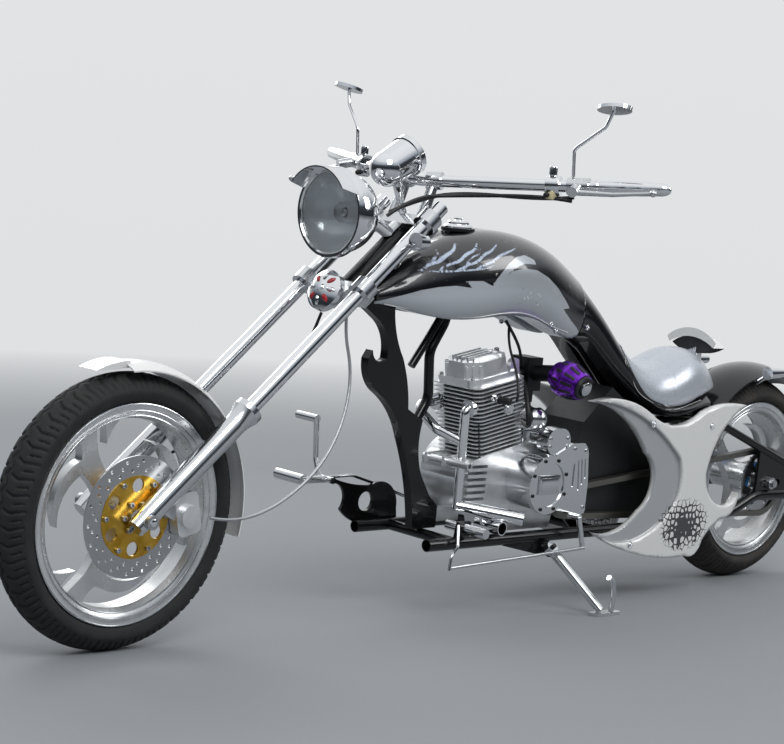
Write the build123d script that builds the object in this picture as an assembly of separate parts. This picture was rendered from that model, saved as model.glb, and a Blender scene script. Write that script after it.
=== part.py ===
from build123d import *
from functools import lru_cache
from math import asin, atan2, cos, degrees, hypot, pi, radians, sin, sqrt, tan
import os

# Chopper motorcycle, leaning on its side stand. Millimetres.
# It is drawn upright, with X forward, Y to the left, Z up, the rear axle over the origin
# and the ground at Z = 0, and is leaned over at the end, when the nodes are written.

# Driving dimensions
LEAN = 5.0                    # degrees to the left, as it parks
WHEELBASE = 2228.0
RAKE = 48.7                   # fork angle from the vertical, degrees
RUNNING_GAP = 0.3             # between a turning piece and what carries it
SEAT_GAP = 0.3                # between a soft or curved piece and its seat

# Front wheel, 100/80-17
FRONT_TYRE_R = 296.0
FRONT_TYRE_W = 100.0
FRONT_RIM_R = 236.0           # rim flange
FRONT_SEAT_R = 219.0          # bead seat
FRONT_RIM_W = 88.0            # over the flanges
FRONT_HUB_R = 30.0
FRONT_HUB_W = 92.0
DISC_R = 130.0
DISC_T = 4.0
DISC_Y = 60.0                 # inner face of the brake disc
DISC_HOLE_R = 4.0
CARRIER_R = 91.0
AXLE_R = 10.0

# Rear wheel, 140/60-16
REAR_TYRE_R = 289.0
REAR_TYRE_W = 138.0
REAR_RIM_R = 221.0
REAR_SEAT_R = 205.0
REAR_RIM_W = 118.0
REAR_HUB_R = 38.0
REAR_HUB_W = 120.0
REAR_AXLE_R = 10.0
RIM_WALL = 6.0
SPOKE_T = 24.0

# Chain drive on the left
CHAIN_Y = 88.0                # middle of the chain
CHAIN_W = 18.0
CHAIN_H = 15.0
SPROCKET_R = 92.0             # rear, at the rollers
SPROCKET_TEETH = 36
SPROCKET_T = 6.0
DRIVE_SPROCKET_R = 34.0
DRIVE_X = 868.0
DRIVE_Z = 268.0

# Fork: A runs forward of the legs, T up along them from the front axle
LEG_Y = 93.0
SLIDER_R = 25.0
SLIDER_LOW = -26.0
SLIDER_TOP = 345.0
TUBE_R = 17.5
TUBE_TOP = 1046.0
STEM_OFFSET = 38.0            # steering axis behind the legs
STEM_R = 14.0
LOWER_YOKE_T = 747.0
UPPER_YOKE_T = 992.0
YOKE_H = 34.0
HEAD_R = 29.0
HEAD_GAP = 1.0                # between head tube and yokes

# Handlebar
BAR_X = 1443.0
BAR_Z = 1041.0
BAR_R = 14.0
BAR_HALF = 530.0
BAR_SWEEP = 24.0              # degrees back
BAR_RISE = 40.0               # over half the bar
RISER_Y = 45.0
GRIP_R = 17.0
GRIP_LENGTH = 150.0
LEVER_REACH = {1: (62.0, 10.0), -1: (106.0, 76.0)}   # ball end ahead of and below the bar's end

# Lamps and clocks
LAMP_R = 100.0
LAMP_X = 1706.0
LAMP_Z = 952.0
CLOCK_R = 42.0

# Engine
CRANK_X = 1006.0
CRANK_Z = 330.0
COVER_R = 74.0
COVER_Y = 150.0
BORE_X = 1108.0               # cylinder axis where it leaves the case
BORE_Z = 398.0
BORE_LEAN = 11.0              # degrees forward
FIN_X = 168.0
FIN_Y = 150.0
FIN_T = 3.0
FIN_STEP = 10.0
BARREL_FINS = 9
HEAD_FINS = 9
HEAD_GROW = 10.0              # head fins over barrel fins
LID_FLANGE = 18.0
LID_DOME = 38.0
LID_RIB = 8.0
CASE_LEFT = 62.0              # left face of the crankcase
CASE_SLOTS = 6                # between the ribs on its front corner
SLOT_STEP = 16.0
SLOT_H = 8.0
PORT_Y = 56.0                 # exhaust ports
HEADER_R = 12.0
OUTLET_R = 17.0               # exhaust outlets
OUTLET_WALL = 2.5

# Frame
RAIL_Y = 115.0
RAIL_Z = 194.0
RAIL_R = 15.0
CROSS_R = 13.0
CROSS_X = (1290, 760, 430)
RAIL_WALL = 2.5
STAY_R = 11.0
PLATE_T = 24.0                # flame-cut neck plate
PANEL_Y = 132.0
PANEL_T = 22.0
BEVEL_DEPTH = 8.0             # of the crescent let into the panel's front edge

NECK_FOOT_X = 1254.0          # edge of the neck plate that the crankcase bolts to
FILLER_X = 1278.0             # middle of the fuel cap
FILLER_Z = 930.0

# Side stand
STAND_PIVOT = (962.0, 142.0, 165.0)
STAND_FOOT = (915.0, 284.0, 24.9)
STAND_FOLDED = (-0.94, 0.26, -0.22)   # where the leg points when folded away
STAND_PIN_R = 6.0
STAND_EYE_R = 16.0
STAND_EYE_W = 18.0
STAND_R = 11.0
STAND_RISE = 1.0              # pin over the middle of the eye


STANDING = (Align.CENTER, Align.CENTER, Align.MIN)   # on its base


def fork_dir():
    return Vector(-sin(radians(RAKE)), 0, cos(radians(RAKE)))


FORK = Plane(
    origin=(WHEELBASE, 0, FRONT_TYRE_R),
    x_dir=(cos(radians(RAKE)), 0, sin(radians(RAKE))),
    z_dir=fork_dir(),
)


def on_fork(a, y, t):
    return FORK.from_local_coords(Vector(a, y, t))


def on_stem(t, ahead=0.0):
    """A point on the steering axis, or ahead of it."""
    return on_fork(ahead - STEM_OFFSET, 0, t)


def round_bar(start, end, r, r_end=None):
    """A straight bar, or a cone where r_end differs, between two points."""
    start, end = Vector(*start), Vector(*end)
    axis = end - start
    plane = Plane(origin=start, z_dir=axis)
    if r_end is None:
        return plane * extrude(Circle(r), axis.length)
    return plane * Cone(r, r_end, axis.length, align=STANDING)


def cross_bar(x, z, y0, y1, r):
    """A round bar along Y."""
    return round_bar((x, y0, z), (x, y1, z), r)


def bend_radii(points, radii):
    """The wanted radius at each corner, no larger than its shorter run allows."""
    if not isinstance(radii, list):
        radii = [radii] * (len(points) - 2)
    limited = []
    for before, here, after, want in zip(points, points[1:], points[2:], radii):
        run = min((here - before).length, (after - here).length)
        turn = radians((here - before).get_angle(after - here))
        limited.append(min(want, 0.45 * run / tan(turn / 2)))
    return limited


def pipe(points, radii, r, wall=0.0):
    """A bent tube: straight runs joined by arcs, solid where wall is 0."""
    points = [Vector(*point) for point in points]
    path = FilletPolyline(*points, radius=bend_radii(points, radii))
    section = Plane(origin=path @ 0, z_dir=path % 0) * Circle(r)
    tube = sweep(section, path=path)
    if wall:
        core = Plane(origin=path @ 0, z_dir=path % 0) * Circle(r - wall)
        tube -= sweep(core, path=path)
    return tube


def outline(start, rows):
    """A closed face from rows of (through point or None, end point)."""
    edges = []
    here = start
    for through, end in rows:
        if through:
            edges.append(ThreePointArc(here, through, end))
        else:
            edges.append(Line(here, end))
        here = end
    if here != start:
        edges.append(Line(here, start))
    return make_face(edges)


def side_slab(face, y0, y1):
    """A face drawn as (X, Z), extruded from y0 to y1."""
    return Plane.XZ.offset(-y1) * extrude(face, y1 - y0)


def ring(section):
    """A wheel section drawn as (radius, y), turned about the Y axis."""
    return revolve(section, Axis.Y)


def main_solid(shape):
    """The largest solid of a shape, without slivers left by a cut."""
    return shape.solids().sort_by(SortBy.VOLUME)[-1]


def dome(edge, pole):
    """A point on the arc, struck from the axis, between an edge (r, height) and the pole's height."""
    r, height = edge
    centre = (pole ** 2 - r ** 2 - height ** 2) / (2 * (pole - height))
    radius = pole - centre
    half = asin(min(1.0, r / abs(radius))) / 2
    return (abs(radius) * sin(half), centre + radius * cos(half))


def bolt_ring(r, count, start=0.0):
    """Places on a circle in the XZ plane, as (x, z, angle)."""
    rows = []
    for k in range(count):
        angle = start + 360.0 * k / count
        rows.append((r * cos(radians(angle)), r * sin(radians(angle)), angle))
    return rows


def tyre(r, width, rim_r, seat_r, rim_w):
    """Carcass with a round crown and a hollow inside."""
    half = width / 2
    shoulder = r - 0.34 * width
    bead = rim_w / 2 - RIM_WALL - 0.5
    heel = seat_r + 0.6
    wall = 9.0
    outer = [
        (None, (heel, bead)),
        (None, (rim_r + 1, bead)),
        (None, (rim_r + 3, rim_w / 2 - 1)),
        ((0.5 * (rim_r + shoulder) + 2, half - 1.4), (shoulder, half)),
        ((r, 0), (shoulder, -half)),
        ((0.5 * (rim_r + shoulder) + 2, 1.4 - half), (rim_r + 3, 1 - rim_w / 2)),
        (None, (rim_r + 1, -bead)),
        (None, (heel, -bead)),
        (None, (heel, -bead + wall)),
        (None, (shoulder, -half + wall)),
        ((r - wall, 0), (shoulder, half - wall)),
        (None, (heel, bead - wall)),
    ]
    return ring(outline((heel, bead - wall), outer))


def rim(rim_r, seat_r, width):
    """Channel with two flanges and a drop centre."""
    w = width / 2
    inner = seat_r - 14
    rows = [
        (None, (rim_r, w - RIM_WALL)),
        (None, (seat_r, w - RIM_WALL)),
        (None, (seat_r - 3, w - 14)),
        (None, (seat_r - 10, w - 22)),
        (None, (seat_r - 10, 22 - w)),
        (None, (seat_r - 3, 14 - w)),
        (None, (seat_r, RIM_WALL - w)),
        (None, (rim_r, RIM_WALL - w)),
        (None, (rim_r, -w)),
        ((rim_r - 10, 1.5 - w), (seat_r - 9, 8 - w)),
        (None, (inner - 4, 24 - w)),
        (None, (inner - 4, w - 24)),
        (None, (seat_r - 9, w - 8)),
        ((rim_r - 10, w - 1.5), (rim_r, w)),
    ]
    return ring(outline((rim_r, w), rows))


# One spoke, drawn for a rim opening of this radius: its blade, the long claw that springs
# from its side and the thorn beside it on the rim. Rows: (through, end), as (radial, side).
SPOKE_FIT_R = 203.0
BLADE = ((20, -34), [
    ((100, 0), (150, 2)),
    (None, (212, -16)),
    (None, (210, 42)),
    ((172, 36), (150, 46)),
    ((122, 122), (50, 150)),
    ((108, 104), (122, 54)),
    ((80, 40), (20, 40)),
])
THORN = ((204, -34), [
    ((180, -32), (152, -22)),
    ((170, -44), (188, -84)),
    (None, (200, -76)),
])


def cast_wheel(rim_r, seat_r, rim_w, hub_r, hub_w, bore_r, turn):
    """Cast rim, hub and three clawed spokes in one piece."""
    body = rim(rim_r, seat_r, rim_w)
    scale_up = (seat_r - 18) / SPOKE_FIT_R * 1.02
    half = SPOKE_T / 2
    for k in range(3):
        for start, rows in (BLADE, THORN):
            face = scale(outline(start, rows), by=scale_up)
            face = Rot(0, 0, turn + 120 * k) * mirror(face, about=Plane.XZ)
            body += side_slab(face, -half, half)
    body += ring(Pos(hub_r / 2, 0) * Rectangle(hub_r, hub_w))
    keep = ring(Pos((seat_r - 5) / 2, 0) * Rectangle(seat_r - 5, rim_w + 60))
    body = (body & keep) + rim(rim_r, seat_r, rim_w)
    return body - cross_bar(0, 0, -hub_w, hub_w, bore_r)


def front_parts():
    """Nodes of the front wheel, around the origin."""
    parts = {}
    parts["front_tyre"] = tyre(FRONT_TYRE_R, FRONT_TYRE_W, FRONT_RIM_R, FRONT_SEAT_R, FRONT_RIM_W)
    parts["front_wheel"] = cast_wheel(
        FRONT_RIM_R, FRONT_SEAT_R, FRONT_RIM_W, FRONT_HUB_R, FRONT_HUB_W,
        AXLE_R + RUNNING_GAP, 62.5,
    )
    face = Circle(DISC_R) - Circle(CARRIER_R - 3)
    for row, r in enumerate((CARRIER_R + 9, CARRIER_R + 19, CARRIER_R + 29)):
        for x, z, _ in bolt_ring(r, 18, 7 * row):
            face -= Pos(x, z) * Circle(DISC_HOLE_R)
    parts["front_disc"] = side_slab(face, DISC_Y, DISC_Y + DISC_T)
    spider = Circle(CARRIER_R - 3) - Circle(AXLE_R + RUNNING_GAP)
    for x, z, _ in bolt_ring(CARRIER_R - 24, 6, 30):
        spider -= Pos(x, z) * Circle(15)
    carrier = side_slab(spider, DISC_Y - 1, DISC_Y + 5)
    boss_w = DISC_Y - 1 - FRONT_HUB_W / 2
    carrier += ring(Pos(30, FRONT_HUB_W / 2 + boss_w / 2) * Rectangle(28, boss_w))
    parts["front_disc_carrier"] = carrier
    return parts


def rear_parts():
    """Nodes of the rear wheel, around the origin."""
    parts = {}
    parts["rear_tyre"] = tyre(REAR_TYRE_R, REAR_TYRE_W, REAR_RIM_R, REAR_SEAT_R, REAR_RIM_W)
    parts["rear_wheel"] = cast_wheel(
        REAR_RIM_R, REAR_SEAT_R, REAR_RIM_W, REAR_HUB_R, REAR_HUB_W,
        REAR_AXLE_R + RUNNING_GAP, 50.0,
    )
    root_r = SPROCKET_R - 5
    face = Circle(root_r) - Circle(REAR_AXLE_R + RUNNING_GAP)
    pitch = 2 * pi * SPROCKET_R / SPROCKET_TEETH
    for x, z, angle in bolt_ring(root_r - 1, SPROCKET_TEETH):
        tooth = Pos(x, z) * Rot(0, 0, angle - 90) * Trapezoid(pitch * 0.62, 15, 72)
        face += tooth
    for x, z, _ in bolt_ring(0.66 * SPROCKET_R, 6):
        face -= Pos(x, z) * Circle(14)
    sprocket = side_slab(face, CHAIN_Y - SPROCKET_T / 2, CHAIN_Y + SPROCKET_T / 2)
    carrier_w = CHAIN_Y - SPROCKET_T / 2 - REAR_HUB_W / 2
    carrier = ring(Pos(31, REAR_HUB_W / 2 + carrier_w / 2) * Rectangle(40, carrier_w))
    parts["rear_sprocket"] = sprocket + carrier
    return parts


def chain():
    """Closed loop round both sprockets, outer side plates over a middle left open for the teeth."""
    span = hypot(DRIVE_X, DRIVE_Z - REAR_TYRE_R)
    base = atan2(DRIVE_Z - REAR_TYRE_R, DRIVE_X)
    lean = atan2(SPROCKET_R - DRIVE_SPROCKET_R, span)

    def loop(grow):
        pts = []
        for sign in (1, -1):
            angle = base + sign * (pi / 2 - lean)
            pts.append((cos(angle), sin(angle)))
        (ux, uz), (lx, lz) = pts
        big = SPROCKET_R + grow
        small = DRIVE_SPROCKET_R + grow
        bx, bz = 0.0, REAR_TYRE_R
        back = (bx - big * cos(base), bz - big * sin(base))
        nose = (DRIVE_X + small * cos(base), DRIVE_Z + small * sin(base))
        top_b = (bx + big * ux, bz + big * uz)
        low_b = (bx + big * lx, bz + big * lz)
        top_s = (DRIVE_X + small * ux, DRIVE_Z + small * uz)
        low_s = (DRIVE_X + small * lx, DRIVE_Z + small * lz)
        return outline(low_b, [(back, top_b), (None, top_s), (nose, low_s)])

    half = CHAIN_H / 2
    band = loop(half) - loop(-half)
    whole = side_slab(band, CHAIN_Y - CHAIN_W / 2, CHAIN_Y + CHAIN_W / 2)
    slot = loop(half - 3) - loop(-half - 1)    # between the side plates, open inwards
    gap = SPROCKET_T / 2 + 1
    return whole - side_slab(slot, CHAIN_Y - gap, CHAIN_Y + gap)


@lru_cache(maxsize=None)
def fork_parts():
    """Axle, sliders, tubes and yokes."""
    parts = {}
    axle = cross_bar(WHEELBASE, FRONT_TYRE_R, -LEG_Y - 30, LEG_Y + 30, AXLE_R)
    for side in (1, -1):
        out = side * (LEG_Y + 22)
        axle += cross_bar(WHEELBASE, FRONT_TYRE_R, out, out + side * 10, AXLE_R + 5)
    spacer0 = DISC_Y + 5 + RUNNING_GAP
    axle += cross_bar(WHEELBASE, FRONT_TYRE_R, spacer0, LEG_Y - 20, AXLE_R + 8)
    axle += cross_bar(WHEELBASE, FRONT_TYRE_R, 20 - LEG_Y, -FRONT_HUB_W / 2 - RUNNING_GAP, AXLE_R + 8)
    sliders = []
    tubes = []
    for side in (1, -1):
        y = side * LEG_Y
        section = outline((0, SLIDER_LOW), [
            (None, (20, SLIDER_LOW)),
            (None, (SLIDER_R - 1, 14)),
            (None, (SLIDER_R, SLIDER_TOP - 60)),
            ((SLIDER_R + 2, SLIDER_TOP - 34), (SLIDER_R + 8, SLIDER_TOP - 14)),
            (None, (SLIDER_R + 8, SLIDER_TOP)),
            (None, (0, SLIDER_TOP)),
        ])
        slider = revolve(Plane.XZ * section, Axis.Z)
        slider -= Pos(0, 0, SLIDER_TOP - 60) * Cylinder(TUBE_R, 200, align=STANDING)
        slider = FORK * (Pos(0, y, 0) * slider)
        slider -= cross_bar(WHEELBASE, FRONT_TYRE_R, -200, 200, AXLE_R)
        slider -= cross_bar(WHEELBASE, FRONT_TYRE_R, y - side * 60, y - side * 20, AXLE_R + 8)
        slider -= cross_bar(WHEELBASE, FRONT_TYRE_R, y + side * 22, y + side * 60, AXLE_R + 5)
        sliders.append(slider)
        low, high = on_fork(0, y, SLIDER_TOP - 60), on_fork(0, y, TUBE_TOP)
        tubes.append(round_bar(low, high, TUBE_R))
    parts["front_axle"] = axle
    parts["fork_sliders"] = sliders
    parts["fork_tubes"] = tubes

    def yoke(t, height):
        plate = Pos(-STEM_OFFSET, 0) * Circle(30)
        plate += Pos(-STEM_OFFSET / 2, 0) * Rectangle(STEM_OFFSET + 4, 2 * LEG_Y)
        for side in (1, -1):
            plate += Pos(0, side * LEG_Y) * Circle(TUBE_R + 10)
            plate -= Pos(0, side * LEG_Y) * Circle(TUBE_R)
        return FORK * (Pos(0, 0, t - height / 2) * extrude(plate, height))

    lower = yoke(LOWER_YOKE_T, YOKE_H)
    lower += round_bar(on_stem(LOWER_YOKE_T), on_stem(UPPER_YOKE_T - YOKE_H / 2), STEM_R)
    upper = yoke(UPPER_YOKE_T, YOKE_H)
    parts["lower_yoke"] = lower
    parts["upper_yoke"] = upper
    return parts


def bar_point(s, rise=0.0):
    """A point on the handlebar at s mm to the left of its middle."""
    reach = abs(s)
    return Vector(
        BAR_X - reach * tan(radians(BAR_SWEEP)),
        s,
        BAR_Z + BAR_RISE * reach / BAR_HALF + rise,
    )


def handlebar_parts():
    parts = {}
    bend_r = 132.0
    bar = pipe([bar_point(-BAR_HALF), Vector(BAR_X, 0, BAR_Z), bar_point(BAR_HALF)], bend_r, BAR_R)
    parts["handlebar"] = bar
    risers = []
    grips = []
    perches = []
    mirrors = []
    signals = []
    for side in (1, -1):
        y = side * RISER_Y
        top = bar_point(y)
        foot = on_fork(-STEM_OFFSET / 2, y, UPPER_YOKE_T + YOKE_H / 2)
        riser = round_bar(foot, Vector(top.X, y, top.Z), 15, 12)
        riser += round_bar(bar_point(y - side * 16), bar_point(y + side * 16), BAR_R + 7)
        riser -= bar
        foot_plane = Plane(origin=foot, z_dir=FORK.z_dir)
        riser -= foot_plane * Pos(0, 0, -50) * Box(200, 200, 100)
        risers.append(riser)
        inner = bar_point(side * (BAR_HALF - GRIP_LENGTH * cos(radians(BAR_SWEEP))))
        end = bar_point(side * BAR_HALF)
        axis = (end - inner).normalized()
        length = (end - inner).length
        tip = 26.0
        shoulder = (GRIP_R - 8, length + 0.85 * tip)
        section = outline((0, 0), [
            (None, (GRIP_R + 1, 0)),
            (None, (GRIP_R + 1, 8)),
            (None, (GRIP_R - 1, 12)),
            ((GRIP_R, length * 0.6), (GRIP_R - 2, length)),
            ((GRIP_R - 3.5, length + 0.5 * tip), shoulder),
            (dome(shoulder, length + tip), (0, length + tip)),
        ])
        grip = Plane(origin=inner, z_dir=axis) * revolve(Plane.XZ * section, Axis.Z)
        grips.append(grip - bar)
        start = inner - axis * 62
        perch = round_bar(start, start + axis * 50, BAR_R + 6)
        fwd = Vector(cos(radians(BAR_SWEEP)), side * sin(radians(BAR_SWEEP)), 0)
        down = Vector(0, 0, -1)
        pivot = start + axis * 25 + fwd * 42 + down * 14
        perch += round_bar(start + axis * 25, pivot + fwd * 10, 12)
        reach, drop = LEVER_REACH[side]
        reach_end = end + fwd * reach + down * drop
        lever = round_bar(pivot, pivot + (reach_end - pivot) * 0.5 + down * 4, 7, 5)
        lever += round_bar(pivot + (reach_end - pivot) * 0.5 + down * 4, reach_end, 5, 4)
        lever += Pos(*reach_end) * Sphere(8)
        perch += lever
        perches.append(perch - bar)
        stem_foot = start + axis * 12 + fwd * 8 + Vector(0, 0, BAR_R + 3)
        knee = stem_foot + Vector(8, 0, 66)
        elbow = knee + Vector(-24, side * 64, 56)
        head = elbow + Vector(-6, side * 14, 42)
        mirror_part = pipe([stem_foot, knee, elbow, head], 18, 4)
        glass = Plane(origin=head, x_dir=(0, 1, 0.1 * side), z_dir=(-0.3, -0.1 * side, 0.95))
        mirror_part += glass * Pos(0, 0, -4) * extrude(Ellipse(46, 26), 8)
        mirrors.append(mirror_part - round_bar(start, start + axis * 50, BAR_R + 6))
        root = on_fork(6, side * (LEG_Y + 6), UPPER_YOKE_T - 74)
        out = root + Vector(8, side * 46, 0)
        sig = round_bar(root, out, 6)
        sig += round_bar(out + Vector(-14, 0, 0), out + Vector(20, 0, 0), 16, 21)
        sig -= round_bar(on_fork(0, side * LEG_Y, 500), on_fork(0, side * LEG_Y, 1100), TUBE_R)
        signals.append(sig)
    parts["handlebar_risers"] = risers
    parts["grips"] = grips
    parts["levers"] = perches
    parts["mirrors"] = mirrors
    parts["front_signals"] = signals
    return parts


def lamp_parts():
    parts = {}
    lamp_depth = 120.0
    glass_t = 10.0
    visor_reach = 46.0
    plane = Plane(origin=(LAMP_X, 0, LAMP_Z), x_dir=(0, 1, 0), z_dir=(1, 0, -0.035))
    bowl = outline((0, -lamp_depth), [
        (dome((LAMP_R - 6, -26), -lamp_depth), (LAMP_R - 6, -26)),
        (None, (LAMP_R - 6, -18)),
        (None, (LAMP_R, -18)),
        (None, (LAMP_R, 0)),
        (None, (LAMP_R - 9, 0)),
        (None, (LAMP_R - 9, -glass_t)),
        (dome((LAMP_R - 9, -glass_t), -84), (0, -84)),
    ])
    shell = revolve(Plane.XZ * bowl, Axis.Z)
    visor = revolve(Plane.XZ * outline((LAMP_R, -18), [
        (None, (LAMP_R + 3, -18)),
        (None, (LAMP_R + 3, visor_reach)),
        (None, (LAMP_R, visor_reach)),
    ]), Axis.Z)
    wedge = Pos(0, LAMP_R + 44, 0) * Box(400, 2 * LAMP_R, 400)
    visor = visor & (Rot(-16, 0, 0) * wedge)
    parts["headlight"] = plane * (shell + visor)
    lens = revolve(Plane.XZ * outline((0, -glass_t + 0.5), [
        (None, (LAMP_R - 9.5, -glass_t + 0.5)),
        (None, (LAMP_R - 9.5, -2)),
        (dome((LAMP_R - 9.5, -2), 9), (0, 9)),
    ]), Axis.Z)
    parts["headlight_lens"] = plane * lens
    back = plane.from_local_coords(Vector(0, 0, -lamp_depth + 14))
    under_yoke = UPPER_YOKE_T - YOKE_H / 2
    elbow = on_stem(under_yoke - 30, STEM_OFFSET - 6)
    ear = round_bar(elbow, back, 15)
    ear += round_bar(on_stem(under_yoke, STEM_OFFSET / 2 + 10), elbow, 13)
    ear = ear - parts["headlight"] - fork_parts()["upper_yoke"]
    head = round_bar(on_stem(LOWER_YOKE_T), on_stem(UPPER_YOKE_T), HEAD_R + 4)
    parts["lamp_bracket"] = ear - head
    face = Vector(1470, 0, 1098)
    tail = Vector(1562, 0, 1048)
    clock = Plane(origin=tail, z_dir=face - tail)
    cup = outline((0, -14), [
        (dome((CLOCK_R, 30), -14), (CLOCK_R, 30)),
        (None, (CLOCK_R + 4, (face - tail).length - 14)),
        (None, (CLOCK_R + 7, (face - tail).length - 12)),
        (None, (CLOCK_R + 7, (face - tail).length)),
        (None, (0, (face - tail).length)),
    ])
    speedo = clock * revolve(Plane.XZ * cup, Axis.Z)
    neck = round_bar(on_fork(0, 0, UPPER_YOKE_T + YOKE_H / 2), Vector(1520, 0, 1060), 9)
    parts["speedometer"] = speedo + main_solid(neck - speedo - fork_parts()["upper_yoke"])
    horn_at = Vector(1690, 0, 775)
    horn = Plane(origin=horn_at, z_dir=(0.93, 0, 0.36)) * (
        Cylinder(48, 16) + Pos(0, 0, -14) * Cylinder(30, 16) + Pos(0, 0, 10) * Cone(46, 20, 12)
    )
    arm = round_bar(horn_at + Vector(-16, 0, -4), on_fork(TUBE_R, 0, LOWER_YOKE_T + 6), 7)
    parts["horn"] = horn + (arm - horn)
    parts["horn"] = parts["horn"] - fork_parts()["lower_yoke"]
    return parts


def front_fender():
    """Thin blade over the front tyre, pointed in front, with a stay to each slider."""
    r = FRONT_TYRE_R + 24
    skin = 3.0
    half = 56.0
    section = outline((r - 14, half), [
        ((r + 2, 0), (r - 14, -half)),
        (None, (r - 14 - skin, -half)),
        ((r + 2 - skin, 0), (r - 14 - skin, half)),
    ])
    low_end = 192.0               # degrees round from straight ahead, behind the tyre
    top_end = 84.0
    blade = revolve(section, Axis.Y, revolution_arc=low_end - top_end)
    blade = Pos(WHEELBASE, 0, FRONT_TYRE_R) * Rot(0, -low_end, 0) * blade
    nose = side_slab(outline((0, r - 12), [
        (None, (0, r + 2)),
        ((42, r - 3), (84, r - 18)),
        ((40, r - 16), (0, r - 12)),
    ]), -0.55 * half, 0.55 * half)
    blade += Pos(WHEELBASE + 24, 0, FRONT_TYRE_R) * nose
    stays = []
    for side in (1, -1):
        foot = on_fork(-4, side * (LEG_Y - SLIDER_R + 3), r - 18)
        end = on_fork(-4, side * (half - 3), r - 18)
        stays.append(round_bar(foot, end, 7))
    for stay in stays:
        blade += stay - blade
    for slider in fork_parts()["fork_sliders"]:
        blade -= slider
    return main_solid(blade)


def brake_caliper():
    """Body over the disc's edge, behind the left slider, with its bracket."""
    at = Vector(WHEELBASE - 118, DISC_Y + DISC_T / 2, FRONT_TYRE_R + 6)
    body = Pos(*at) * Rot(0, 14, 0) * Box(62, 62, 92)
    body = fillet(body.edges().filter_by(Axis.Y), 14)
    rotor = Pos(WHEELBASE, 0, FRONT_TYRE_R) * ring(
        Pos((DISC_R + 4) / 2, at.Y) * Rectangle(DISC_R + 4, DISC_T + 4))
    body -= rotor
    piston = cross_bar(at.X, at.Z - 4, at.Y + 31, at.Y + 42, 24)
    bracket = side_slab(outline((WHEELBASE - 90, FRONT_TYRE_R + 46), [
        (None, (WHEELBASE - 30, FRONT_TYRE_R + 66)),
        (None, (WHEELBASE - 14, FRONT_TYRE_R + 34)),
        (None, (WHEELBASE - 92, FRONT_TYRE_R - 10)),
    ]), LEG_Y - 22, LEG_Y - 12)
    whole = body + piston + bracket
    for slider in fork_parts()["fork_sliders"]:
        whole -= slider
    return main_solid(whole - fork_parts()["front_axle"])


@lru_cache(maxsize=None)
def neck():
    """Head tube with the flame-cut plate that carries the front of the cradle."""
    low = on_stem(LOWER_YOKE_T + YOKE_H / 2 + HEAD_GAP)
    high = on_stem(UPPER_YOKE_T - YOKE_H / 2 - HEAD_GAP)
    tube = round_bar(low, high, HEAD_R)
    plate = side_slab(outline((1475, 762), [
        ((1466, 700), (1429, 624)),
        ((1404, 560), (1393, 502)),
        (None, (1338, 474)),
        ((1342, 400), (1323, 340)),
        (None, (1286, 288)),
        (None, (NECK_FOOT_X, 262)),
        (None, (NECK_FOOT_X, 209)),
        (None, (1334, 209)),
        ((1362, 330), (1407, 435)),
        ((1448, 500), (1501, 542)),
        ((1536, 580), (1544, 623)),
        (None, (1532, 642)),
        ((1512, 616), (1484, 622)),
        ((1494, 680), (1532, 718)),
        ((1572, 742), (1606, 758)),
        (None, (1628, 790)),
        (None, (1500, 880)),
    ]), -PLATE_T / 2, PLATE_T / 2)
    below = on_stem(LOWER_YOKE_T - 100)
    body = tube + (plate - round_bar(below, low, HEAD_R + 12))
    return body - round_bar(below, on_stem(UPPER_YOKE_T + 40), STEM_R + RUNNING_GAP)


SPINE_R = 24.0
SPINE_BENDS = [150, 220, 220, 220]
SPINE = ((1500, 0, 826), (1320, 0, 842), (1050, 0, 800), (760, 0, 668), (520, 0, 470), (400, 0, 440))


@lru_cache(maxsize=None)
def spine():
    """Main tube from the head tube to the rear of the cradle, with the engine's front braces."""
    tube = pipe(SPINE, SPINE_BENDS, SPINE_R)
    tube -= neck()
    brace = round_bar((1230, 0, 822), (1387, 0, 604), 10)
    hoop = pipe([
        (1290, 0, 832), (1283, 0, 716), (1330, 0, 640), (1316, 0, 526), (1346, 0, 478),
    ], [60, 60, 60], 12)
    return tube + main_solid(brace - neck()) + main_solid(hoop - neck())


@lru_cache(maxsize=None)
def rails(wall=0.0):
    """Lower cradle tubes, open in front, that run on as the lower stays. One to each side."""
    pair = []
    for side in (1, -1):
        front = 1390 if side > 0 else 1402
        y = side * RAIL_Y
        tube = pipe([
            (front, y, RAIL_Z), (420, y, RAIL_Z), (170, y, 214),
            (60, y, 256), (-112, y, 252),
        ], [400, 120, 160], RAIL_R, wall)
        pair.append(tube)
    return pair


def stand_plane():
    """At the stand's pivot, Z along its pin and Y out towards the foot."""
    pivot, foot = Vector(*STAND_PIVOT), Vector(*STAND_FOOT)
    leg = (foot - pivot).normalized()
    pin = leg.cross(Vector(*STAND_FOLDED)).normalized()
    out = Vector(0, 1, 0)
    out = (out - pin * out.dot(pin)).normalized()
    return Plane(origin=pivot, x_dir=out.cross(pin), z_dir=pin)


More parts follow.
